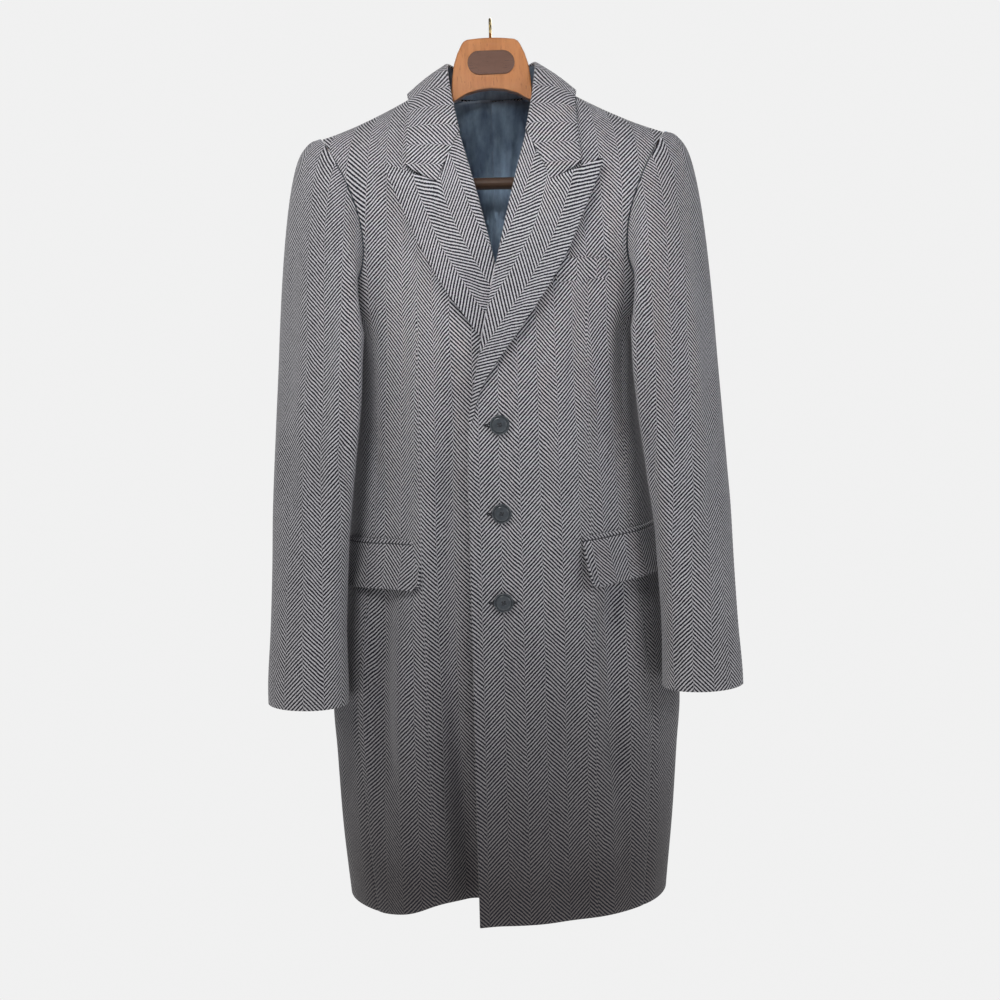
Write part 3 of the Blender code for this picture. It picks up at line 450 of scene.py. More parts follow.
# Creases of the front and back of the body, by x and z.
frontCreases = (
    # xA,    zA,     xB,     zB,     width,  depth
    (-0.050, -0.370, -0.053, -1.030, 0.0120, 0.0092),
    (-0.085, -0.530, -0.100, -0.930, 0.0140, -0.0022),
    (-0.150, -0.320, -0.138, -0.560, 0.0080, 0.0020),
    (-0.072, -0.330, -0.078, -0.520, 0.0080, 0.0026),
    (-0.138, -0.660, -0.146, -1.000, 0.0120, 0.0028),
    (-0.060, -0.700, -0.070, -1.030, 0.0110, -0.0018),
    (-0.118, -0.215, -0.140, -0.330, 0.0120, 0.0024),
    (0.150, -0.310, 0.138, -0.560, 0.0080, 0.0020),
    (0.094, -0.330, 0.088, -0.480, 0.0090, 0.0026),
    (0.124, -0.640, 0.128, -0.900, 0.0130, 0.0072),
    (-0.136, -0.640, -0.138, -0.900, 0.0130, 0.0072),
    (0.112, -0.300, 0.118, -0.520, 0.0120, 0.0020),
    (0.142, -0.690, 0.136, -1.010, 0.0120, 0.0030),
    (0.082, -0.700, 0.092, -1.020, 0.0150, 0.0026),
    (0.030, -0.740, 0.040, -1.030, 0.0130, -0.0016),
    (0.020, -0.430, 0.075, -0.350, 0.0100, 0.0014),
)
backCreases = (
    (-0.055, -0.420, -0.075, -0.980, 0.0140, 0.0034),
    (0.060, -0.460, 0.050, -1.000, 0.0150, 0.0030),
    (-0.125, -0.250, -0.150, -0.480, 0.0120, 0.0026),
    (0.128, -0.250, 0.150, -0.460, 0.0120, 0.0024),
    (-0.115, -0.600, -0.120, -1.000, 0.0130, -0.0022),
    (0.118, -0.560, 0.112, -0.990, 0.0140, 0.0026),
    (0.020, -0.150, 0.060, -0.200, 0.0100, 0.0012),
)


# The coat's surface with its creases, moved out by a height.
def cloth(x, z, facing, height):
    point, normal = skin(x, z, facing)
    sink = creaseShift(frontCreases if facing < 0 else backCreases, x, z)
    edge = smooth((ridge(x) - z - 0.02) / 0.05)
    return point + normal * (height - sink * edge), normal


# Turns a finished build into a piece of the scene.
def makePiece(name, build, *finishes):
    mesh = bpy.data.meshes.new(name)
    build.to_mesh(mesh)
    build.free()
    mesh.shade_smooth()
    for finish in finishes:
        mesh.materials.append(finish)
    piece = bpy.data.objects.new(name, mesh)
    bpy.context.scene.collection.objects.link(piece)
    return piece


def softenEdges(piece, width, segments, angle):
    soft = piece.modifiers.new("edge", "BEVEL")
    soft.width = width
    soft.segments = segments
    soft.limit_method = "ANGLE"
    soft.angle_limit = math.radians(angle)


# A bare grid of faces to lay through rows of points.
def gridBuild(tall, wide):
    build = bmesh.new()
    bmesh.ops.create_grid(build, x_segments=wide - 1, y_segments=tall - 1, size=1.0)
    build.verts.ensure_lookup_table()
    return build


# Points and normals over a grid, from a function of the level and the share across.
def sheetGrid(levels, shares, place):
    rows = [[place(level, share) for share in shares] for level in levels]
    return tuple([[spot[k] for spot in row] for row in rows] for k in (0, 1))


def spanAt(row, j):
    return row[min(j + 1, len(row) - 1)] - row[max(j - 1, 0)]


# Whether a grid's faces look away from its normals.
def facesIn(points, normals):
    i, j = len(points) // 2, len(points[0]) // 2
    along = points[i + 1][j] - points[i - 1][j]
    return spanAt(points[i], j).cross(along).dot(normals[i][j]) < 0.0


# A closed sheet of cloth through a grid of points on its outer side, with its weave's
# measures in metres as the UV map.
def clothPiece(name, points, normals, weave, finishes, thick=clothPly, bevel=0.0007, even=True):
    tall, wide = len(points), len(points[0])
    build = gridBuild(tall, wide)
    layer = build.loops.layers.uv.new("weave")
    for vert in build.verts:
        i, j = divmod(vert.index, wide)
        vert.co = points[i][j]
        for loop in vert.link_loops:
            loop[layer].uv = weave[i][j]
    if facesIn(points, normals):
        bmesh.ops.reverse_faces(build, faces=build.faces)
    piece = makePiece(name, build, *finishes)
    wall = piece.modifiers.new("wall", "SOLIDIFY")
    wall.thickness = thick
    wall.offset = -1.0
    wall.use_even_offset = even
    wall.use_quality_normals = True
    wall.material_offset = 1 if len(finishes) > 1 else 0
    if bevel:
        softenEdges(piece, bevel, 2, 60)
    piece.data.set_sharp_from_angle(angle=math.radians(70))
    return piece


# Weave measures over a grid by walking from its first row: along and across the plumb line.
def plumbWeave(points, normals, startAcross, startAlong, plumb=Vector((0.0, 0.0, 1.0)), known=()):
    weave = list(known)
    for i, row in enumerate(points[len(known):], len(known)):
        line = []
        for j, point in enumerate(row):
            if i == 0:
                across = line[-1][0] + (point - row[j - 1]).length if j else startAcross
                line.append((across, startAlong + (point - row[0]).dot(plumb)))
                continue
            step = point - points[i - 1][j]
            level = normals[i][j].cross(plumb)
            level = level.normalized() if level.length > 0.05 else Vector((1.0, 0.0, 0.0))
            if level.dot(spanAt(row, j)) < 0.0:
                level = -level
            rise = level.cross(normals[i][j])
            if rise.dot(plumb) < 0.0:
                rise = -rise
            before = weave[i - 1][j]
            line.append((before[0] + step.dot(level), before[1] + step.dot(rise)))
        weave.append(line)
    return weave


def area(points):
    total = 0.0
    for low, high in zip(points, points[1:]):
        for a, b, c, d in zip(low, low[1:], high, high[1:]):
            total += ((b - a).cross(c - a).length + (b - d).cross(c - d).length) / 2.0
    return total


# Attaches a finished piece to the root body and hides the solid it stands for.
def declare(piece, node=None):
    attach(piece, "root")
    if node:
        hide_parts(node)


# The same for a sheet of cloth: it too only attaches the piece and hides its solid. Its cut
# is passed as width, length and area, the area being what shows times a share for seams and turned edges.
def declareSheet(piece, slot, node, cut, held, *restsOn):
    declare(piece, node)


def newMaterial(name):
    made = bpy.data.materials.new(name)
    made.use_nodes = True
    return made, made.node_tree, made.node_tree.nodes.new("ShaderNodeTexCoord").outputs["Object"]


# Sets a node's input to a number or a colour, or links another node's output to it.
def feed(tree, slot, value):
    if isinstance(value, (int, float)):
        slot.default_value = value
    elif isinstance(value, tuple):
        slot.default_value = (*value, 1.0)
    else:
        tree.links.new(value, slot)


def setInputs(node, **values):
    for key, value in values.items():
        node.inputs[key.replace("_", " ")].default_value = value


# Maths nodes for an operation and its values. A value may be such a tuple itself.
def calc(tree, kind, *values, clamp=False):
    node = tree.nodes.new("ShaderNodeMath")
    node.operation = kind
    node.use_clamp = clamp
    for slot, value in zip(node.inputs, values):
        feed(tree, slot, calc(tree, *value) if isinstance(value, tuple) else value)
    return node.outputs[0]


def blendColour(tree, share, low, high, kind="MIX"):
    node = tree.nodes.new("ShaderNodeMix")
    node.data_type = "RGBA"
    node.blend_type = kind
    for slot, value in ((0, share), (6, low), (7, high)):
        feed(tree, node.inputs[slot], value)
    return node.outputs[2]


def ramp(tree, value, low, high, kind="LINEAR"):
    node = tree.nodes.new("ShaderNodeMapRange")
    node.interpolation_type = kind
    for slot, given in (("Value", value), ("From Min", low), ("From Max", high)):
        feed(tree, node.inputs[slot], given)
    return node.outputs[0]


def noise(tree, vector, scale, detail=2.0, roughness=0.5):
    node = tree.nodes.new("ShaderNodeTexNoise")
    setInputs(node, Scale=scale, Detail=detail, Roughness=roughness)
    tree.links.new(vector, node.inputs["Vector"])
    return node.outputs["Fac"]


def stretched(tree, vector, size):
    node = tree.nodes.new("ShaderNodeVectorMath")
    node.operation = "MULTIPLY"
    node.inputs[1].default_value = size
    tree.links.new(vector, node.inputs[0])
    return node.outputs[0]


def weaveMeasures(tree):
    node = tree.nodes.new("ShaderNodeUVMap")
    node.uv_map = "weave"
    parts = tree.nodes.new("ShaderNodeSeparateXYZ")
    tree.links.new(node.outputs[0], parts.inputs[0])
    return node.outputs[0], parts.outputs[0], parts.outputs[1]


# Gives a material its colour, its plain inputs and a bump of a height and a strength.
def finishMaterial(made, colour, relief, distance, strength, **values):
    tree = made.node_tree
    shader = tree.nodes["Principled BSDF"]
    setInputs(shader, **values)
    tree.links.new(colour, shader.inputs["Base Color"])
    node = tree.nodes.new("ShaderNodeBump")
    setInputs(node, Strength=strength, Distance=distance)
    tree.links.new(relief, node.inputs["Height"])
    tree.links.new(node.outputs["Normal"], shader.inputs["Normal"])
    return made


# Herringbone: twill lines that turn at every column's edge, light yarn over dark, with
# the yarns' own floats, a fibrous nap and a slow drift of tone.
herringbone = {
    "column": 0.0238,           # width of one column
    "repeat": 0.0048,           # from one light line to the next, along the column
    "line": (0.40, 0.72),       # where in the repeat the light yarn begins and is full
    "float": 0.0021,            # length of a yarn's float
    "light": (0.58, 0.570, 0.600),
    "dark": (0.014, 0.014, 0.020),
    "fade": (-0.58, -1.00),     # heights between which the light yarn darkens to its low tone: painted shade towards the hem
    "stray": 0.0022,            # how far a column's edge wanders
    "manyColumns": 400.0,       # keeps the count of columns above zero
}


def makeWool(name, low):
    made, tree, place = newMaterial(name)
    column = herringbone["column"]
    vector, across, along = weaveMeasures(tree)
    wander = noise(tree, stretched(tree, vector, (1.0, 0.35, 1.0)), 60.0, 1.0)
    wander = calc(tree, "SUBTRACT", wander, 0.5)
    wobble = noise(tree, vector, 900.0, 2.0)
    cell = calc(tree, "DIVIDE", ("ADD", across, ("MULTIPLY", wander, herringbone["stray"])), column)
    cell = calc(tree, "ADD", cell, herringbone["manyColumns"])
    odd = calc(tree, "MODULO", ("FLOOR", cell), 2.0)
    side = calc(tree, "MULTIPLY", ("PINGPONG", cell, 1.0), column)
    phase = calc(tree, "DIVIDE", ("ADD", along, side), herringbone["repeat"])
    phase = calc(tree, "ADD", phase, ("MULTIPLY", odd, 0.5))
    phase = calc(tree, "ADD", phase, ("MULTIPLY", ("SUBTRACT", wobble, 0.5), 0.55))
    phase = calc(tree, "ADD", phase, ("MULTIPLY", wander, 0.5))
    wave = calc(tree, "MULTIPLY", ("ABSOLUTE", ("SUBTRACT", ("FRACT", phase), 0.5)), 2.0)
    line = ramp(tree, wave, *herringbone["line"], "SMOOTHSTEP")
    run = calc(tree, "ADD", ("MULTIPLY", along, 2.0), side)
    yarn = calc(tree, "SINE", ("MULTIPLY", run, 2.0 * math.pi / herringbone["float"]))
    share = calc(tree, "MULTIPLY", line, ("ADD", ("MULTIPLY", yarn, 0.07), 0.93), clamp=True)
    # Painted shade: between the fade heights the light yarn darkens to the low tone towards the hem,
    # standing in for light falling off downwards.
    parts = tree.nodes.new("ShaderNodeSeparateXYZ")
    tree.links.new(place, parts.inputs[0])
    paintedShadeShare = ramp(tree, parts.outputs[2], *herringbone["fade"])
    light = blendColour(tree, paintedShadeShare, herringbone["light"], low)
    colour = blendColour(tree, share, herringbone["dark"], light)
    drift = noise(tree, place, 9.0, 3.0)
    fibre = noise(tree, stretched(tree, vector, (1.0, 0.5, 1.0)), 2600.0, 2.0, 0.7)
    tone = calc(tree, "MULTIPLY", ("ADD", ("MULTIPLY", drift, 0.30), 0.85),
                ("ADD", ("MULTIPLY", fibre, 0.70), 0.65))
    grey = tree.nodes.new("ShaderNodeCombineColor")
    for slot in grey.inputs:
        tree.links.new(tone, slot)
    colour = blendColour(tree, 1.0, colour, grey.outputs[0], "MULTIPLY")
    relief = calc(tree, "ADD", share, ("MULTIPLY", fibre, 0.7))
    return finishMaterial(made, colour, relief, 0.00035, 0.6, Roughness=0.92, Specular_IOR_Level=0.12,
                          Sheen_Weight=0.22, Sheen_Roughness=0.5)


# Satin over fine threads: a dark blue cloth whose colour is clouded with pale blue-grey as painted sheen.
def makeSatin(name):
    made, tree, place = newMaterial(name)
    across = weaveMeasures(tree)[1]
    cloudy = noise(tree, stretched(tree, place, (3.0, 1.0, 1.0)), 14.0, 4.0, 0.6)
    small = noise(tree, stretched(tree, place, (2.0, 1.0, 0.8)), 60.0, 3.0, 0.6)
    paintedSheen = calc(tree, "ADD", ("MULTIPLY", cloudy, 0.7), ("MULTIPLY", small, 0.3))
    # Painted sheen: the noise clouds lift the satin's own dark blue towards a pale blue-grey.
    colour = blendColour(tree, ramp(tree, paintedSheen, 0.35, 0.68), (0.055, 0.080, 0.130), (0.30, 0.41, 0.54))
    thread = calc(tree, "SINE", ("MULTIPLY", across, 2.0 * math.pi / 0.0006))
    relief = calc(tree, "ADD", cloudy, ("MULTIPLY", thread, 0.01))
    return finishMaterial(made, colour, relief, 0.004, 0.8, Roughness=0.36, Specular_IOR_Level=0.5,
                          Sheen_Weight=0.15, Anisotropic=0.4)


# Wood with its grain along one axis of the piece, under clear varnish.
def makeWood(name, dark, mid, pale, grain, varnish, rough):
    made, tree, place = newMaterial(name)
    vector = stretched(tree, place, grain)
    broad = noise(tree, vector, 26.0, 4.0, 0.55)
    fine = noise(tree, vector, 160.0, 3.0, 0.7)
    pores = noise(tree, vector, 520.0, 2.0, 0.8)
    rings = calc(tree, "SINE", ("MULTIPLY", broad, 40.0))
    share = calc(tree, "ADD", ("MULTIPLY", rings, 0.16), ("MULTIPLY", fine, 0.9), clamp=True)
    pits = calc(tree, "MULTIPLY", ramp(tree, pores, 0.60, 0.72), 0.6)
    colour = blendColour(tree, pits, blendColour(tree, share, mid, pale), dark)
    return finishMaterial(made, colour, pores, 0.00012, 0.35, Roughness=rough, Coat_Weight=varnish,
                          Coat_Roughness=0.10)


# One noise between two tones, as colour and as bump.
def makeMottled(name, low, high, cells, bump, **values):
    made, tree, place = newMaterial(name)
    stretch, scale, detail, rough = cells
    vector = stretched(tree, place, stretch) if stretch else place
    tone = noise(tree, vector, scale, detail, rough)
    return finishMaterial(made, blendColour(tree, tone, low, high), tone, *bump, **values)


# The body's light yarn is painted much darker at the hem as painted shade; the sleeves' copy only a little,
# so they stay brighter.
wool = makeWool("woolHerringbone", (0.165, 0.148, 0.145))
sleeveWool = makeWool("sleeveHerringbone", (0.54, 0.52, 0.53))
satin = makeSatin("liningSatin")
horn = makeMottled("buttonHorn", (0.026, 0.031, 0.038), (0.095, 0.108, 0.120), (None, 260.0, 4.0, 0.6),
                   (0.0001, 0.4), Roughness=0.27, Coat_Weight=0.4, Coat_Roughness=0.2)
# Dark thread of the buttonholes and button stitches; the same dark also lies in the pocket mouths as
# painted shadow.
darkThreadAndShadow = makeMottled("darkThreadAndShadow", (0.015, 0.016, 0.021), (0.030, 0.032, 0.042),
                         (None, 3000.0, 2.0, 0.5), (0.0002, 0.8), Roughness=0.8, Sheen_Weight=0.3)
print("materials made")


# Points and normals of one front or back panel on the coat's surface. A front has a dart,
# whose two sides meet at the same place.
frontDart = {-1: 0.090, 1: 0.101}       # from the centre, by side
dartShare = 0.45                        # share of the columns that lie inside the dart
dartStep = 0.0009                       # from the dart to the next column


def panelGrid(side, facing, below, above, columns):
    cornerZ = armLow(seamTopAngle)
    turnShare = 0.74 if facing < 0 else 0.86
    dart = frontDart[side] if facing < 0 else 0.0
    inner, outer = [], []
    for share in spread(below)[:-1]:
        z = mix(hemZ, cornerZ, share)
        start = frontEdgeX(z, side) if facing < 0 else 0.0
        limit = roundX(seamAngle(z), z) - seamGap
        low = [hem(side * x, side) if facing < 0 else hemZ for x in (start, limit)]
        inner.append((start, mix(low[0], cornerZ, share), share, None))
        outer.append((limit, mix(low[1], cornerZ, share)))
    for share in spread(above):
        level = 1.0 - (1.0 - share) ** 1.8
        if level < turnShare:
            z = mix(cornerZ, gorgeZ if facing < 0 else backNeckZ, level / turnShare)
            inner.append((rollX(z) if facing < 0 else 0.0, z, None, level))
        else:
            inner.append((*neckline((level - turnShare) / (1.0 - turnShare), facing), None, level))
        outerZ = mix(cornerZ, ridge(shoulderX), level)
        outer.append((armX(outerZ) - 0.0012 * (1.0 - level), outerZ))
    points, normals = [], []
    for (innerX, innerZ, share, level), (outerX, outerZ) in zip(inner, outer):
        if dart:
            near = int(columns * dartShare)
            cut = (dart - innerX) / (outerX - innerX)
            step = dartStep / (outerX - innerX)
            parts = [cut * inside for inside in spread(near)]
            parts += [mix(cut + step, 1.0, beyond) for beyond in spread(columns - near)]
        else:
            parts = spread(columns)
        rowPoints, rowNormals = [], []
        for part in parts:
            x, z = mix(innerX, outerX, part), mix(innerZ, outerZ, part)
            if share is not None:
                z = mix(hem(side * x, side) if facing < 0 else hemZ, cornerZ, share)
            elif x > neckX:
                flat = mix(ridge(neckX), ridge(shoulderX), (x - neckX) / (shoulderX - neckX))
                z += (ridge(x) - flat) * level ** 5
            worldX = side * (max(x, seamGap / 2) if facing > 0 else x)
            press = tuck(worldX, z, 1) if facing < 0 and side < 0 else 0.0
            if facing < 0 and side > 0 and z < breakZ:
                near = max(0.0, 1.0 - (x - innerX) / 0.030)
                press -= 0.0062 * near ** 2 * smooth((breakZ - z) / 0.05)
            seamSink = 0.0006 * hump(part, 1.0, 1 / 60) if share is not None else 0.0
            point, normal = cloth(worldX, z, facing, -press - seamSink)
            rowPoints.append(point)
            rowNormals.append(normal)
        points.append(rowPoints)
        normals.append(rowNormals)
    return points, normals


# Takes up a dart: draws the weave in past a column, below a height.
def takeUp(weave, points, column, top, low, most):
    for i, row in enumerate(weave):
        z = points[i][column].z
        amount = most * smooth((top - z) / (top - low))
        for j in range(column, len(row)):
            row[j] = (row[j][0] - amount, row[j][1])
    return weave


panels = {
    # name: node, side, facing, rows below, rows above, columns, cut width, cut length
    "frontLeft": ("front_left", 1, -1, 76, 52, 48, 0.345, 1.010),
    "frontRight": ("front_right", -1, -1, 76, 52, 48, 0.345, 1.010),
    "backLeft": ("back_left", 1, 1, 66, 44, 38, 0.285, 1.030),
    "backRight": ("back_right", -1, 1, 66, 44, 38, 0.285, 1.030),
}
dartTop, dartLow, dartTake = -0.30, -0.46, 0.0075
for name, (node, side, facing, below, above, columns, wide, tall) in panels.items():
    points, normals = panelGrid(side, facing, below, above, columns)
    start = frontEdgeX(hemZ, side) if facing < 0 else 0.012
    weave = plumbWeave(points, normals, start, points[0][0].z)
    if facing < 0:
        weave = takeUp(weave, points, int(columns * dartShare) + 1, dartTop, dartLow, dartTake)
    piece = clothPiece(name, points, normals, weave, (wool,) if facing < 0 else (wool, satin))
    declareSheet(piece, "wool", node, (wide, tall, area(points) * 1.12), "hung", hangerArms[side])
    print("panel", name, round(area(points), 4))

sidePanel = {
    "cut": (0.190, 0.750), "rows": 78, "columns": 24,
    "under": 1.2,       # degrees it runs on under its neighbours
    "low": 0.0012,      # it stops this far below the armhole
    "bulge": 0.0022,
    "sink": 0.0011,     # how far in its edges lie
}


def sidePoint(side, share, part):
    topAngle = mix(seamTopAngle, 180.0 - seamTopAngle, part)
    z = mix(hemZ, armLow(topAngle) - sidePanel["low"], share)
    first = seamAngle(z) - sidePanel["under"]
    angle = mix(first, 180.0 - first, part)
    facing = angleFacing(angle)
    x = side * roundX(angle, z)
    point, normal = skin(x, z, facing)
    bulge = sidePanel["bulge"] * math.sin(math.pi * part) ** 2 * math.sin(9.0 * z + side)
    rows = frontCreases if facing < 0 else backCreases
    bulge -= creaseShift(rows, x, z) * smooth(abs(angle - 90.0) / 25.0)
    sink = sidePanel["sink"] * (hump(part, 0.0, 1 / 30) + hump(part, 1.0, 1 / 30))
    return point + normal * (bulge - sink), normal


for side, word in sides:
    points, normals = sheetGrid(spread(sidePanel["rows"]), spread(sidePanel["columns"]),
                                lambda share, part: sidePoint(side, share, part))
    weave = plumbWeave(points, normals, 0.190, points[0][0].z)
    piece = clothPiece("side" + word, points, normals, weave, (wool, satin))
    declareSheet(piece, "wool", "side_" + word.lower(), (*sidePanel["cut"], area(points) * 1.08), "hung",
                 hangerArms[side])
print("side panels made")

sleeveCreases = {
    # side: (turnA, stageA, turnB, stageB, width, depth), turn in radians and stage 0 to 2
    1: ((1.05, 0.55, 0.90, 1.65, 0.16, 0.0030), (1.75, 0.80, 1.55, 1.45, 0.13, 0.0032),
        (0.35, 1.20, 1.10, 1.52, 0.07, 0.0022), (2.20, 1.00, 2.00, 1.50, 0.15, 0.0030),
        (1.30, 1.35, 2.10, 1.22, 0.06, 0.0024), (4.20, 0.85, 4.00, 1.60, 0.20, 0.0036),
        (5.10, 0.70, 5.30, 1.70, 0.22, -0.0026), (0.70, 1.72, 1.30, 1.93, 0.08, 0.0014)),
    -1: ((0.95, 0.60, 1.10, 1.60, 0.16, 0.0032), (1.70, 0.85, 1.45, 1.50, 0.12, 0.0030),
         (0.30, 1.35, 1.15, 1.20, 0.07, 0.0024), (2.15, 1.05, 2.05, 1.55, 0.15, 0.0028),
         (1.25, 1.30, 2.00, 1.46, 0.06, 0.0026), (4.10, 0.80, 4.30, 1.55, 0.20, 0.0034),
         (5.20, 0.75, 5.00, 1.65, 0.22, -0.0024), (0.80, 1.90, 1.40, 1.70, 0.08, 0.0014)),
}


def sleeveCloth(side, turn, stage):
    radians = math.radians(turn % 360.0)
    sink = creaseShift(sleeveCreases[side], radians, stage)
    head = 0.0012 * hump(stage, 0.16, 0.10) * math.cos(math.radians(turn / 2.0)) ** 2
    seam = 0.0006 * hump((turn - sleeveHind + 180.0) % 360.0, 180.0, 1.6)
    ease = smooth(stage / 0.25)
    return sleeveSkin(side, turn, stage, sink * ease - head + seam)


sleeveParts = {
    # name: node, side, first turn, last turn, columns, cut width, cut length
    "topSleeveLeft": ("topsleeve_left", 1, sleeveHind, sleeveFore, 54, 0.290, 0.700),
    "topSleeveRight": ("topsleeve_right", -1, sleeveHind, sleeveFore, 54, 0.290, 0.700),
    "underSleeveLeft": ("undersleeve_left", 1, sleeveFore, sleeveHind + 360.0, 34, 0.210, 0.640),
    "underSleeveRight": ("undersleeve_right", -1, sleeveFore, sleeveHind + 360.0, 34, 0.210, 0.640),
}
seamTurn = 0.25             # degrees between a sleeve's edge and the seam's middle
crownRows, armRows = 34, 62
for name, (node, side, first, last, columns, wide, tall) in sleeveParts.items():
    stages = [share ** 1.25 for share in spread(crownRows)]
    stages[0] = 0.002
    stages += [1.0 + share for share in spread(armRows)[1:]]
    stages.reverse()
    turns = [mix(first + seamTurn, last - seamTurn, share) for share in spread(columns)]
    points = [[sleeveCloth(side, turn, stage) for turn in turns] for stage in stages]
    half = columns // 2
    normals = []
    for i, row in enumerate(points):
        below, over = points[max(i - 1, 0)], points[min(i + 1, len(points) - 1)]
        normals.append([spanAt(row, j).cross(over[j] - below[j]).normalized() for j in range(len(row))])
    centre = sum(points[20], Vector()) / len(points[20])
    if normals[20][half].dot(points[20][half] - centre) < 0.0:
        normals = [[-normal for normal in line] for line in normals]
    low, high = points[0], points[armRows - 1]
    axis = (sum(high, Vector()) / len(high) - sum(low, Vector()) / len(low)).normalized()
    known, climb = [], 0.0
    for i, row in enumerate(points[:armRows]):
        climb += (row[half] - points[max(i - 1, 0)][half]).length
        line = [0.0] * len(row)
        for j in range(half + 1, len(row)):
            line[j] = line[j - 1] + (row[j] - row[j - 1]).length
        for j in range(half - 1, -1, -1):
            line[j] = line[j + 1] - (row[j + 1] - row[j]).length
        known.append([(value + 0.012, climb) for value in line])
    weave = plumbWeave(points, normals, 0.0, 0.0, axis, known)
    piece = clothPiece(name, points, normals, weave, (sleeveWool, satin), even=False)
    declareSheet(piece, "wool", node, (wide, tall, area(points) * 1.06), "hung", hangerArms[side])
    print("sleeve", name, round(area(points), 4))


# Swings of a turned edge, from its inner side round to its outer one.
foldSwings = [math.radians(-90.0 + 22.5 * step) for step in range(9)]
lapel = {
    "cut": (0.135, 0.400), "stations": 84, "columns": 30,
    "roll": {1: 0.0085, -1: 0.0050},        # how far the outer edge stands off, by side
    "belly": 0.0026,
    "weaveStart": {1: 0.0020, -1: 0.0258},  # where the edge falls in the herringbone
}


def lapelGrid(side):
    points, normals = [], []
    lowest = lapelEdgeRows[0]
    across = spread(lapel["columns"])
    for share in spread(lapel["stations"]):
        rise = share ** 0.9
        rootZ = mix(breakZ + 0.006, gorgeZ, rise)
        root = (rollX(rootZ), rootZ)
        edgeZ = mix(lowest[0], lapelEdgeRows[-1][0], rise)
        edge = (lookup(lapelEdgeRows, edgeZ, 1), edgeZ)
        bend = smooth((share - 0.55) / 0.45)
        rim = tuple(mix(a, b, bend * share ** 6) for a, b in zip(edge, lapelTop[-1]))
        line = []
        for part in across:
            straight = (mix(root[0], rim[0], part), mix(root[1], rim[1], part))
            top = alongLine(lapelTop, part)
            chord = tuple(mix(a, b, part) for a, b in zip(lapelTop[0], lapelTop[-1]))
            late = bend ** 2
            line.append(tuple(straight[k] + (top[k] - chord[k]) * late for k in (0, 1)))
        width = math.dist(root, rim)
        size = math.dist(line[1], root)
        heading = ((line[1][0] - root[0]) / size, (line[1][1] - root[1]) / size)
        stand = min(1.0, width / 0.05)
        row, ways = [], []
        for step, swing in enumerate(foldSwings):
            back = -foldRadius * math.cos(swing) - (seamGap if step == 0 else 0.0)
            x, z = (root[k] + heading[k] * back for k in (0, 1))
            press = tuck(side * x, z, 0) if side < 0 else 0.0
            point, normal = skin(side * x, z, -1)
            row.append(point + normal * (foldInner + foldRadius * math.sin(swing) - press))
            ways.append(normal)
        for (x, z), part in zip(line[1:], across[1:]):
            swell = math.sin(math.pi * part)
            belly = stand * (lapel["belly"] * swell + lapel["roll"][side] * part ** 1.7
                             + 0.0020 * swell * hump(share, 0.35, 0.3))
            rim = (1.0 - part) * width
            belly -= 0.0006 * hump(rim, 0.0055, 0.0015)
            press = 0.0
            if side < 0:
                belly *= 1.0 - covered(side * x, z)
                press = tuck(side * x, z, 0)
            point, normal = skin(side * x, z, -1)
            row.append(point + normal * (plyGap + belly - press + clothPly))
            ways.append(normal)
        points.append(row)
        normals.append(ways)
    return points, normals


# Weave measures that follow the outer edge: across is the distance in from it, along runs
# beside it. The edge's heading is taken over a span of rows either side.
def edgeWeave(points, span, middleRow=None):
    weave, runs = [], [0.0]
    for low, high in zip(points, points[1:]):
        runs.append(runs[-1] + (high[-1] - low[-1]).length)
    start = runs[middleRow] if middleRow is not None else 0.0
    for i, row in enumerate(points):
        ahead, behind = min(i + span, len(points) - 1), max(i - span, 0)
        if middleRow is None:
            ahead, behind = int(len(points) * 0.85), int(len(points) * 0.1)
        heading = (points[ahead][-1] - points[behind][-1]).normalized()
        line = []
        for point in row:
            gap = point - row[-1]
            beside = gap.dot(heading)
            inward = (gap - heading * beside).length
            line.append((runs[i] + beside - start, inward))
        weave.append(line)
    return weave


for side, word in sides:
    points, normals = lapelGrid(side)
    start = lapel["weaveStart"][side]
    weave = [[(across + start, along) for along, across in row] for row in edgeWeave(points, 8)]
    piece = clothPiece("lapel" + word, points, normals, weave, (wool,))
    declareSheet(piece, "wool", "lapel_" + word.lower(), (*lapel["cut"], area(points) * 1.10), "folded",
                 "front" + word)
print("lapels made")


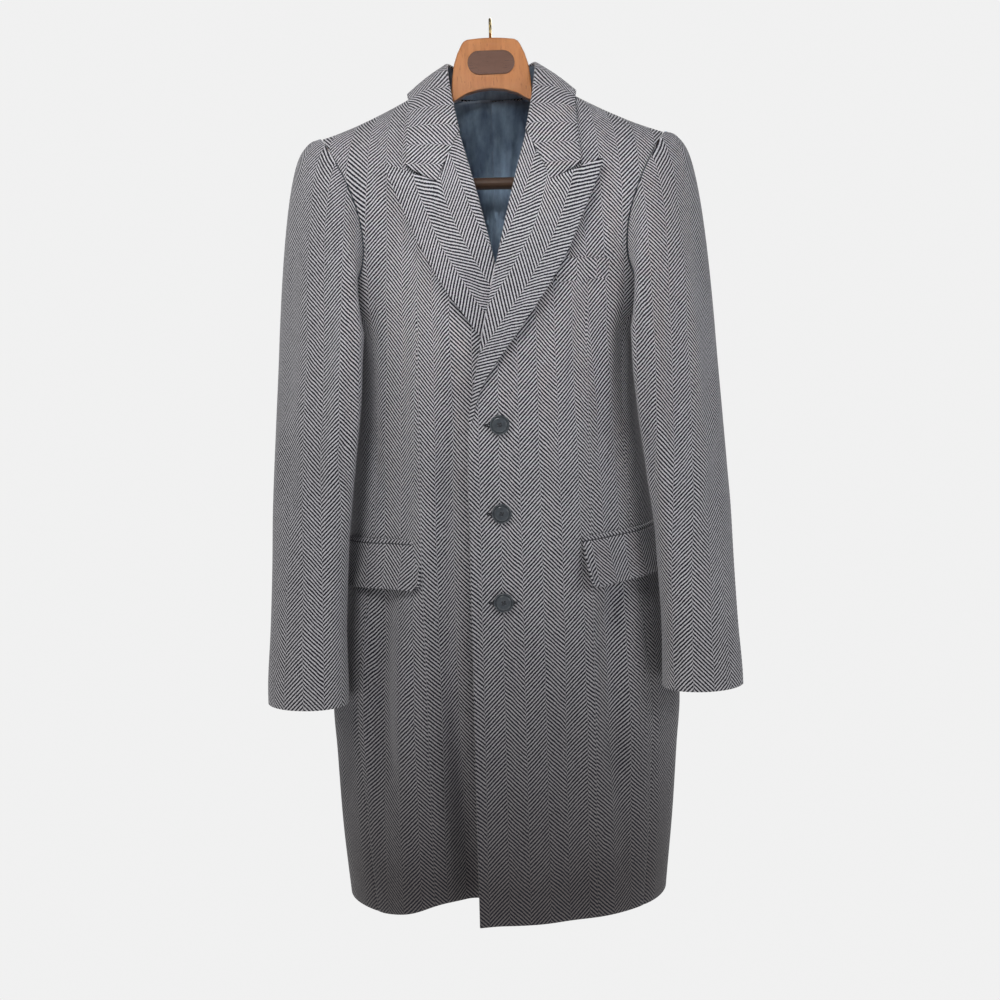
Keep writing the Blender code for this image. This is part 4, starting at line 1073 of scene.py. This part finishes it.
# The right half of the collar's leaf with its normals, and of its stand.
def collarGrids(stations, across):
    leaf, stand, ways = [], [], []
    shares = spread(stations)
    shares[-1] = 0.990
    for share in shares:
        root, seam, edge, normal = collarStation(share)
        ahead = collarStation(min(share + 0.02, 1.0))[0]
        behind = collarStation(max(share - 0.02, 0.0))[0]
        if share < 0.02:
            behind = Vector((-ahead.x, ahead.y, ahead.z))
        tangent = (ahead - behind).normalized()
        down = edge - root
        down = (down - tangent * down.dot(tangent)).normalized()
        out = tangent.cross(down)
        if out.dot(normal) < 0.0:
            out = -out
        bend = smooth((share - 0.62) / 0.38)
        row, facing = [], []
        for swing in foldSwings:
            row.append(root - down * foldRadius * math.cos(swing) + out * foldRadius * math.sin(swing))
            facing.append(out)
        for part in spread(across)[1:]:
            top = root + out * foldRadius
            straight = top.lerp(edge, part)
            swell = math.sin(math.pi * part)
            point = straight + (out + normal).normalized() * collarFullness * swell * (1.0 - 0.6 * bend)
            spot = alongLine(collarEnd, part)
            lying, lyingNormal = skin(*spot, -1)
            lying = lying + lyingNormal * (plyGap + clothPly + 0.0012 * swell)
            point = point.lerp(lying, bend ** 2 * smooth((share - 0.7) / 0.3))
            outward = (out * (1.0 - part) + normal * part).normalized()
            point = point + outward * 0.0034 * part ** 2
            inside = keptAbove(point - outward * clothPly, collarClear)
            row.append(keptAbove(inside + outward * clothPly, collarClear + clothPly))
            facing.append(outward)
        leaf.append(row)
        ways.append(facing)
        wall = seam - root
        wall = (wall - tangent * wall.dot(tangent)).normalized()
        seamNormal = skin(seam.x, seam.z, facingOf(seam))[1]
        line = []
        for part in spread(8):
            foot = seam - seamNormal * clothPly / 2 - wall * 0.0020
            point = (root - out * (foldInner + clothPly / 2)).lerp(foot, part)
            line.append(point + wall * 2.0 * seamGap * (1.0 - part) + out * clothPly / 2)
        stand.append(line)
    return leaf, ways, stand


def mirrored(rows):
    flipped = [[Vector((-point.x, point.y, point.z)) for point in row] for row in rows]
    return list(reversed(flipped)) + rows[1:]


leaf, ways, stand = collarGrids(58, 20)
for point in leaf[0] + stand[0]:
    point.x = 0.0
half = len(leaf) - 1
leaf, ways, stand = mirrored(leaf), mirrored(ways), mirrored(stand[:-2])
weave = [[(abs(along) + 0.004, across) for along, across in row] for row in edgeWeave(leaf, 5, half)]
piece = clothPiece("collarLeaf", leaf, ways, weave, (wool,))
declareSheet(piece, "wool", "collar", (0.520, 0.085, min(area(leaf) * 1.10, 0.044)), "folded", "backLeft",
             "backRight")
standWays = [[Vector((point.x, point.y - 0.01, 0.0)) for point in row] for row in stand]
standWeave = [[(i * 0.004, j * 0.003) for j in range(len(row))] for i, row in enumerate(stand)]
piece = clothPiece("collarStand", stand, standWays, standWeave, (wool, satin))
declareSheet(piece, "wool", "collar_stand", (0.400, 0.045, min(area(stand) * 1.10, 0.018)), "folded",
             "backLeft", "backRight")
print("collar made")

liningCreases = (
    # xA,    zA,     xB,     zB,     width,  depth
    (-0.030, -0.100, -0.024, -0.330, 0.0060, 0.0062),
    (0.026, -0.100, 0.022, -0.300, 0.0050, 0.0056),
    (-0.052, -0.120, -0.040, -0.380, 0.0080, -0.0048),
    (0.050, -0.110, 0.046, -0.360, 0.0070, 0.0050),
    (-0.012, -0.140, -0.010, -0.400, 0.0050, -0.0034),
    (0.012, -0.200, 0.016, -0.400, 0.0050, 0.0040),
)
lining = {
    "cut": (0.270, 0.360), "low": -0.420,
    "inward": 0.0054,       # how far inside the coat's surface it hangs
    "least": 0.0038,        # it never comes nearer than this
    "topLeast": 0.0026,     # nor, at its top edge, than this
    "pleat": 0.0060,
}


def liningPoint(share, part):
    x = (2.0 * part - 1.0) * mix(0.125, 0.066, smooth((share - 0.55) / 0.45))
    top = backNeckZ + 0.0040 - 0.012 * (abs(x) / 0.066) ** 2
    z = mix(lining["low"], top, share)
    pleat = lining["pleat"] * smooth((x + 0.0030) / 0.0030) * smooth((0.0300 - x) / 0.0300)
    point, normal = skin(x, z, 1)
    sink = creaseShift(liningCreases, x, z) * smooth((1.0 - share) / 0.1)
    over = -0.0032 * smooth((share - 0.975) / 0.025)
    inward = max(lining["inward"] + pleat + over + sink, lining["topLeast" if share > 0.97 else "least"])
    return point - normal * inward, -normal


points, normals = sheetGrid(spread(70), spread(72), liningPoint)
weave = plumbWeave(points, normals, -0.125, lining["low"])
piece = clothPiece("liningCloth", points, normals, weave, (satin,), 0.0010, 0)
declareSheet(piece, "satin", "lining", (*lining["cut"], area(points) * 1.15), "hung", "backLeft",
             "backRight")
print("lining made")


# A closed round piece through rings of points, from a function of the ring and the swing.
def roundPiece(name, rings, steps, place, finish, weld):
    build = gridBuild(rings, steps + 1)
    for i in range(rings):
        for j in range(steps + 1):
            build.verts[i * (steps + 1) + j].co = place(i, 2.0 * math.pi * (j % steps) / steps)
    bmesh.ops.remove_doubles(build, verts=build.verts, dist=weld)
    bmesh.ops.recalc_face_normals(build, faces=build.faces)
    return makePiece(name, build, finish)


# A thread along a path, closed at both ends; also a dark strip of painted shadow.
def strand(name, path, radius, steps=8):
    rings = []
    side = Vector((0.31, 0.77, 0.55))
    for at in [0, *range(len(path)), len(path) - 1]:
        run = spanAt(path, at).normalized()
        side = (side - run * side.dot(run)).normalized()
        rings.append((path[at], side, run.cross(side), radius if 0 < len(rings) <= len(path) else 0.0))

    def place(i, swing):
        centre, over, other, wide = rings[i]
        return centre + (over * math.cos(swing) + other * math.sin(swing)) * wide

    declare(roundPiece(name, len(rings), steps, place, darkThreadAndShadow, 1e-7))


def arcAt(x, z):
    spots = [skin(x * share, z, -1)[0] for share in spread(24)]
    return sum((b - a).length for a, b in zip(spots, spots[1:]))


def angleAt(x, z):
    return math.degrees(math.asin(x / halfWidth(z)))


def roundPoint(side, angle, z, height):
    point, normal = skin(side * roundX(angle, z), z, angleFacing(angle))
    return point + normal * height, normal


# The hip pockets: a flap hanging from a jet. Both follow one line round the body.
flap = {
    "cut": (0.150, 0.062), "thick": 0.0026, "bevel": 0.0009,
    "topZ": -0.600, "height": 0.051, "length": 0.145, "corner": 0.008,
    "startX": 0.0905, "endAngle": 76.0,
    "tilt": {1: 0.060, -1: -0.015},
    "lift": {1: (0.0095, 0.0100), -1: (0.0060, 0.0020)},    # of the low edge and its front corner
    "stitch": 0.0007,       # depth of the sewn line along the edge
}
jet = {"cut": (0.012, 0.150), "thick": 0.0012, "height": 0.0055, "round": 0.0010}


def flapPoint(side, level, share):
    corner = flap["corner"] / flap["length"]
    inset = max(0.0, corner - min(share, 1 - share)) / corner
    rounding = flap["corner"] * (1.0 - math.sqrt(max(0.0, 1.0 - inset ** 2))) if inset else 0.0
    angle, z = pocketLine(side, share)
    z -= (flap["height"] - rounding) * level
    lowLift, cornerLift = flap["lift"][side]
    curl = lowLift * level ** 1.6 * (1.0 - 0.45 * share) + cornerLift * level * (1.0 - share) ** 4
    curl += 0.0010 * math.sin(math.pi * level) * math.sin(5.0 * share + side)
    rims = (min(share, 1 - share) * flap["length"], (1 - level) * flap["height"])
    press = flap["stitch"] * sum(hump(rim, 0.004, 0.0016) for rim in rims)
    return roundPoint(side, angle, z, plyGap + seamGap + flap["thick"] + curl - press)


def jetPoint(side, level, share):
    angle, z = pocketLine(side, share)
    swell = jet["round"] * math.sin(math.pi * level) ** 0.7 if 0 < level < 1 else 0.0
    z += seamGap + jet["height"] * level
    return roundPoint(side, angle, z, plyGap + seamGap + 0.0008 + swell)


def pocketLine(side, share, last=flap["endAngle"]):
    start = angleAt(flap["startX"], flap["topZ"])
    return mix(start, last, share), flap["topZ"] + flap["tilt"][side] * flap["length"] * share


for side, word in sides:
    corner = flap["corner"] / flap["length"]
    shares = [corner * k / 8 for k in range(8)]
    shares += [mix(corner, 1 - corner, k) for k in spread(30)] + [1 - share for share in shares[::-1]]
    points, normals = sheetGrid(spread(18), shares, lambda level, share: flapPoint(side, level, share))
    start = arcAt(flap["startX"], flap["topZ"]) - (dartTake if flap["startX"] < frontDart[side] else 0.0)
    weave = plumbWeave(points, normals, start, flap["topZ"])
    piece = clothPiece("pocketFlap" + word, points, normals, weave, (wool,), flap["thick"], flap["bevel"])
    declareSheet(piece, "wool", "pocket_flap_" + word.lower(),
                 (*flap["cut"], min(area(points) * 1.12, 0.0093)), "hung", "front" + word)
    points, normals = sheetGrid(spread(6), spread(44), lambda level, share: jetPoint(side, level, share))
    weave = [[(along + 0.004, across) for across, along in row]
             for row in plumbWeave(points, normals, 0.1, 0.0)]
    piece = clothPiece("pocketJet" + word, points, normals, weave, (wool,), jet["thick"], 0)
    declareSheet(piece, "wool", "pocket_jet_" + word.lower(), (*jet["cut"], area(points)), "folded",
                 "front" + word)

welt = {
    "cut": (0.068, 0.030), "thick": 0.0016, "bevel": 0.0006,
    "topZ": -0.2810, "height": (0.0265, 0.0215),    # inner and outer end
    "x": (0.067, 0.1275), "stand": 0.0036, "stitch": 0.0006,
}


def weltPoint(level, share):
    z = welt["topZ"] - mix(*welt["height"], share) * level
    rim = min(share * 0.06, (1 - share) * 0.06, (1 - level) * 0.0235)
    press = welt["stitch"] * hump(rim, 0.0025, 0.0010)
    height = plyGap + welt["thick"] + welt["stand"] * (1.0 - level) ** 1.5 - press
    return roundPoint(1, angleAt(mix(*welt["x"], share), z), z, height)


points, normals = sheetGrid(spread(12), spread(36), weltPoint)
weave = plumbWeave(points, normals, arcAt(welt["x"][0], welt["topZ"]) + 0.004, welt["topZ"] + 0.0015)
piece = clothPiece("breastWelt", points, normals, weave, (wool,), welt["thick"], welt["bevel"])
declareSheet(piece, "wool", "breast_welt", (*welt["cut"], min(area(points) * 1.15, 0.00203)), "folded",
             "frontLeft")

# Dark strips of painted shadow in the pockets' mouths, above the welt and between each jet and its flap.
shadowStripZ = welt["topZ"] + 0.0006
strand("weltMouthShadow", [lifted(mix(*welt["x"], share), shadowStripZ, -1, 0.0004) for share in spread(20)], 0.0009)
for side, word in sides:
    path = []
    for share in spread(40):
        angle, z = pocketLine(side, share, 75.0)
        z += 0.0002
        path.append(lifted(side * roundX(angle, z), z, -1, 0.0022))
    strand("flapMouthShadow" + word, path, 0.0007)
print("pockets made")


frontButton = {
    "radius": 0.0112, "thick": 0.0036, "steps": 64, "rings": 26, "holeOut": 0.0021, "holeWide": 0.00085,
    "z": (-0.465, -0.5645, -0.665), "spin": (0.10, -0.35, 0.22),
}
cuffButton = {
    "radius": 0.0068, "thick": 0.0026, "steps": 40, "rings": 14, "holeOut": 0.0014, "holeWide": 0.0006,
    "rise": 0.020,      # lowest button above the sleeve's edge
    "pitch": 0.0141,
    "turn": 12.0,       # degrees round from the hind-arm seam
}
buttonLift = 0.0012     # back of a button above the cloth
# A button's outline from its back's centre round the rim and a groove to its face: share of
# its radius and of its thickness.
buttonRim = ((0.0, 0.0), (0.86, 0.0), (0.95, 0.14), (1.0, 0.40), (0.985, 0.64), (0.95, 0.80), (0.90, 0.84),
             (0.86, 0.66), (0.82, 0.46), (0.79, 0.46), (0.75, 0.70), (0.71, 0.90))
holeDepth = 0.0016


# A turned button with a groove inside its rim and four sewing holes in its face.
def buttonPiece(name, node, sizes, point, normal, spin):
    turn = Vector((0.0, 0.0, 1.0)).rotation_difference(normal).to_matrix().to_4x4()
    stance = Matrix.Translation(point + normal * buttonLift) @ turn @ Matrix.Rotation(spin, 4, "Z")
    face = [(0.64 * (1 - share), 0.96 - 0.14 * share ** 2) for share in spread(sizes["rings"])]
    outline = [*buttonRim, *face]

    def place(i, swing):
        radius, height = sizes["radius"] * outline[i][0], sizes["thick"] * outline[i][1]
        x, y = radius * math.cos(swing), radius * math.sin(swing)
        dip = 0.0
        for hole in (math.radians(45.0 + 90.0 * k) for k in range(4 if i >= len(buttonRim) else 0)):
            gap = math.hypot(x - sizes["holeOut"] * math.cos(hole), y - sizes["holeOut"] * math.sin(hole))
            dip = max(dip, holeDepth * math.exp(-(gap / sizes["holeWide"]) ** 6))
        return stance @ Vector((x, y, height - dip))

    declare(roundPiece(name, len(outline), sizes["steps"], place, horn, 1e-6), node)


# Two crossed stitches over a button's face.
threadReach, threadHeight, threadArch, threadDip = 0.0022, 0.0042, 0.0004, 0.0012
for index, (z, spin) in enumerate(zip(frontButton["z"], frontButton["spin"])):
    number = str(index + 1)
    point, normal = skin(0.0, z, -1)
    buttonPiece("button" + number, "button_" + number, frontButton, point, normal, spin)
    turn = Vector((0.0, 0.0, 1.0)).rotation_difference(normal).to_matrix()
    for word, hole in (("a", 45.0), ("b", 135.0)):
        swing = math.radians(hole) + spin
        path = []
        for share in (k / 6 for k in range(-6, 7)):
            up = threadHeight + threadArch * (1 - share ** 4) - (threadDip if abs(share) == 1 else 0.0)
            across = Vector((math.cos(swing), math.sin(swing), 0.0)) * (threadReach * share)
            path.append(point + turn @ (across + Vector((0, 0, up))))
        strand("buttonThread" + number + word, path, 0.00042)

for side, word in sides:
    span = sleeveRows[0][0] - cuffZ[side]
    for index in range(4):
        stage = 2.0 - (cuffButton["rise"] + cuffButton["pitch"] * index) / span
        turn = sleeveHind + cuffButton["turn"]
        point = sleeveSkin(side, turn, stage, 0.0)
        normal = (point - sleeveSkin(side, turn, stage, 0.01)).normalized()
        number = str(index + 1)
        buttonPiece("cuffButton" + word + number, "cuff_button_" + word.lower() + "_" + number, cuffButton,
                    point, normal, 0.3 * index)

# Worked buttonholes: a purl of thread round a slit, from near the front edge to the button.
buttonhole = {"outerX": -0.0172, "innerX": (0.004, 0.004, 0.0150), "half": 0.00143, "thread": 0.00085}
for index, z in enumerate(frontButton["z"]):
    path = []
    for step, share in enumerate(spread(96)):
        swing = 2.0 * math.pi * share
        x = mix(buttonhole["outerX"], buttonhole["innerX"][index], 0.5 - 0.5 * math.cos(swing))
        rise = buttonhole["half"] * math.sin(swing) * (1.0 if abs(math.sin(swing)) > 0.3 else 0.9)
        path.append(cloth(x, z - 0.0002 + rise + 0.00018 * math.sin(step * 2.6), -1, 0.00030)[0])
    strand("buttonhole" + str(index + 1), path, buttonhole["thread"])
print("buttons made")


woods = {
    # name: dark, middle and pale tone, grain along each axis, varnish, roughness
    "hangerWood": ((0.12, 0.040, 0.012), (0.36, 0.135, 0.045), (0.56, 0.235, 0.085),
                   (1.0, 0.5, 0.16), 0.9, 0.28),
    "armWood": ((0.12, 0.040, 0.012), (0.34, 0.125, 0.042), (0.52, 0.215, 0.080),
                (0.16, 0.6, 1.0), 0.9, 0.28),
    "barWood": ((0.015, 0.008, 0.005), (0.055, 0.028, 0.016), (0.090, 0.048, 0.028),
                (0.12, 1.0, 1.0), 0.5, 0.4),
    "plateWood": ((0.03, 0.014, 0.010), (0.105, 0.048, 0.030), (0.150, 0.075, 0.050),
                  (0.2, 1.0, 1.0), 0.3, 0.45),
}
made = {name: makeWood(name, *tones) for name, tones in woods.items()}
brass = makeMottled("hookBrass", (0.62, 0.44, 0.18), (0.86, 0.70, 0.36), ((1.0, 1.0, 0.2), 900.0, 3.0, 0.5),
                    (0.00005, 0.3), Metallic=1.0, Roughness=0.22)
hangerFinish = {
    "hanger_head": made["hangerWood"], "hanger_arm_left": made["armWood"],
    "hanger_arm_right": made["armWood"], "hanger_bar": made["barWood"], "bar_post_left": made["barWood"],
    "bar_post_right": made["barWood"], "hanger_plate": made["plateWood"], "hook": brass,
}
for node, finish in hangerFinish.items():
    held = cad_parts[node]
    held.data.materials.clear()
    held.data.materials.append(finish)
    if node in ("hanger_head", "hanger_plate"):
        softenEdges(held, 0.0006, 3, 32)
print("hanger finished")


view = bpy.data.objects.new("camera", bpy.data.cameras.new("camera"))
view.data.sensor_width = 36.0
view.data.lens = 51.01
view.data.clip_end = 20.0
view.matrix_world = (Matrix.Translation((-0.0015, -1.7, -0.385))
                     @ Matrix.Rotation(math.radians(84.08), 4, "X")
                     @ Matrix.Rotation(math.radians(-1.35), 4, "Z"))
bpy.context.scene.collection.objects.link(view)
bpy.context.scene.camera = view

lamps = {
    # name: place, aims at, size, watts, spread, colour
    "keyLight": ((-0.42, -1.00, 0.74), (0.0, 0.0, -0.32), 0.42, 11.4, 180, (1.0, 0.99, 0.975)),
    "fillLight": ((1.25, -1.15, -0.10), (0.0, 0.0, -0.50), 0.7, 8.0, 180, (0.95, 0.97, 1.0)),
    "sideLight": ((-1.30, -0.85, 0.00), (0.0, 0.0, -0.40), 0.7, 2.8, 180, (1.0, 0.99, 0.975)),
    "neckLight": ((-0.10, -1.45, 0.10), (0.0, 0.0, -0.20), 0.20, 0.16, 26, (0.97, 0.985, 1.0)),
    "backLight": ((0.6, 1.90, 0.60), (0.0, 0.0, -0.50), 1.4, 22.0, 180, (1.0, 0.99, 0.98)),
}
for name, (place, aim, size, watts, wide, colour) in lamps.items():
    lamp = bpy.data.lights.new(name, "AREA")
    lamp.size = size
    lamp.energy = watts
    lamp.color = colour
    lamp.spread = math.radians(wide)
    holder = bpy.data.objects.new(name, lamp)
    holder.location = place
    holder.visible_glossy = name != "neckLight"
    holder.rotation_euler = (Vector(aim) - Vector(place)).to_track_quat("-Z", "Y").to_euler()
    bpy.context.scene.collection.objects.link(holder)

paleGrey = (0.877, 0.877, 0.877, 1.0)
world = bpy.data.worlds.new("studio")
bpy.context.scene.world = world
world.use_nodes = True
tree = world.node_tree
sky = tree.nodes["Background"]
setInputs(sky, Color=paleGrey)
dim = tree.nodes.new("ShaderNodeBackground")
setInputs(dim, Color=(0.90, 0.92, 1.0, 1.0), Strength=0.11)
seen = tree.nodes.new("ShaderNodeLightPath")
mixer = tree.nodes.new("ShaderNodeMixShader")
for slot, value in enumerate((seen.outputs["Is Camera Ray"], dim.outputs[0], sky.outputs[0])):
    tree.links.new(value, mixer.inputs[slot])
tree.links.new(mixer.outputs[0], tree.nodes["World Output"].inputs["Surface"])

floorZ, floorSize = -1.60, 4.0
build = bmesh.new()
bmesh.ops.create_grid(build, x_segments=2, y_segments=2, size=floorSize)
for vertex in build.verts:
    vertex.co.z = floorZ
paleFloor = newMaterial("paleFloor")[0]
setInputs(paleFloor.node_tree.nodes["Principled BSDF"], Base_Color=(0.0, 0.0, 0.0, 1.0),
          Emission_Color=paleGrey, Emission_Strength=1.0, Specular_IOR_Level=0.0)
makePiece("floor", build, paleFloor)
bpy.context.scene.view_settings.view_transform = "Standard"
print("stage set")
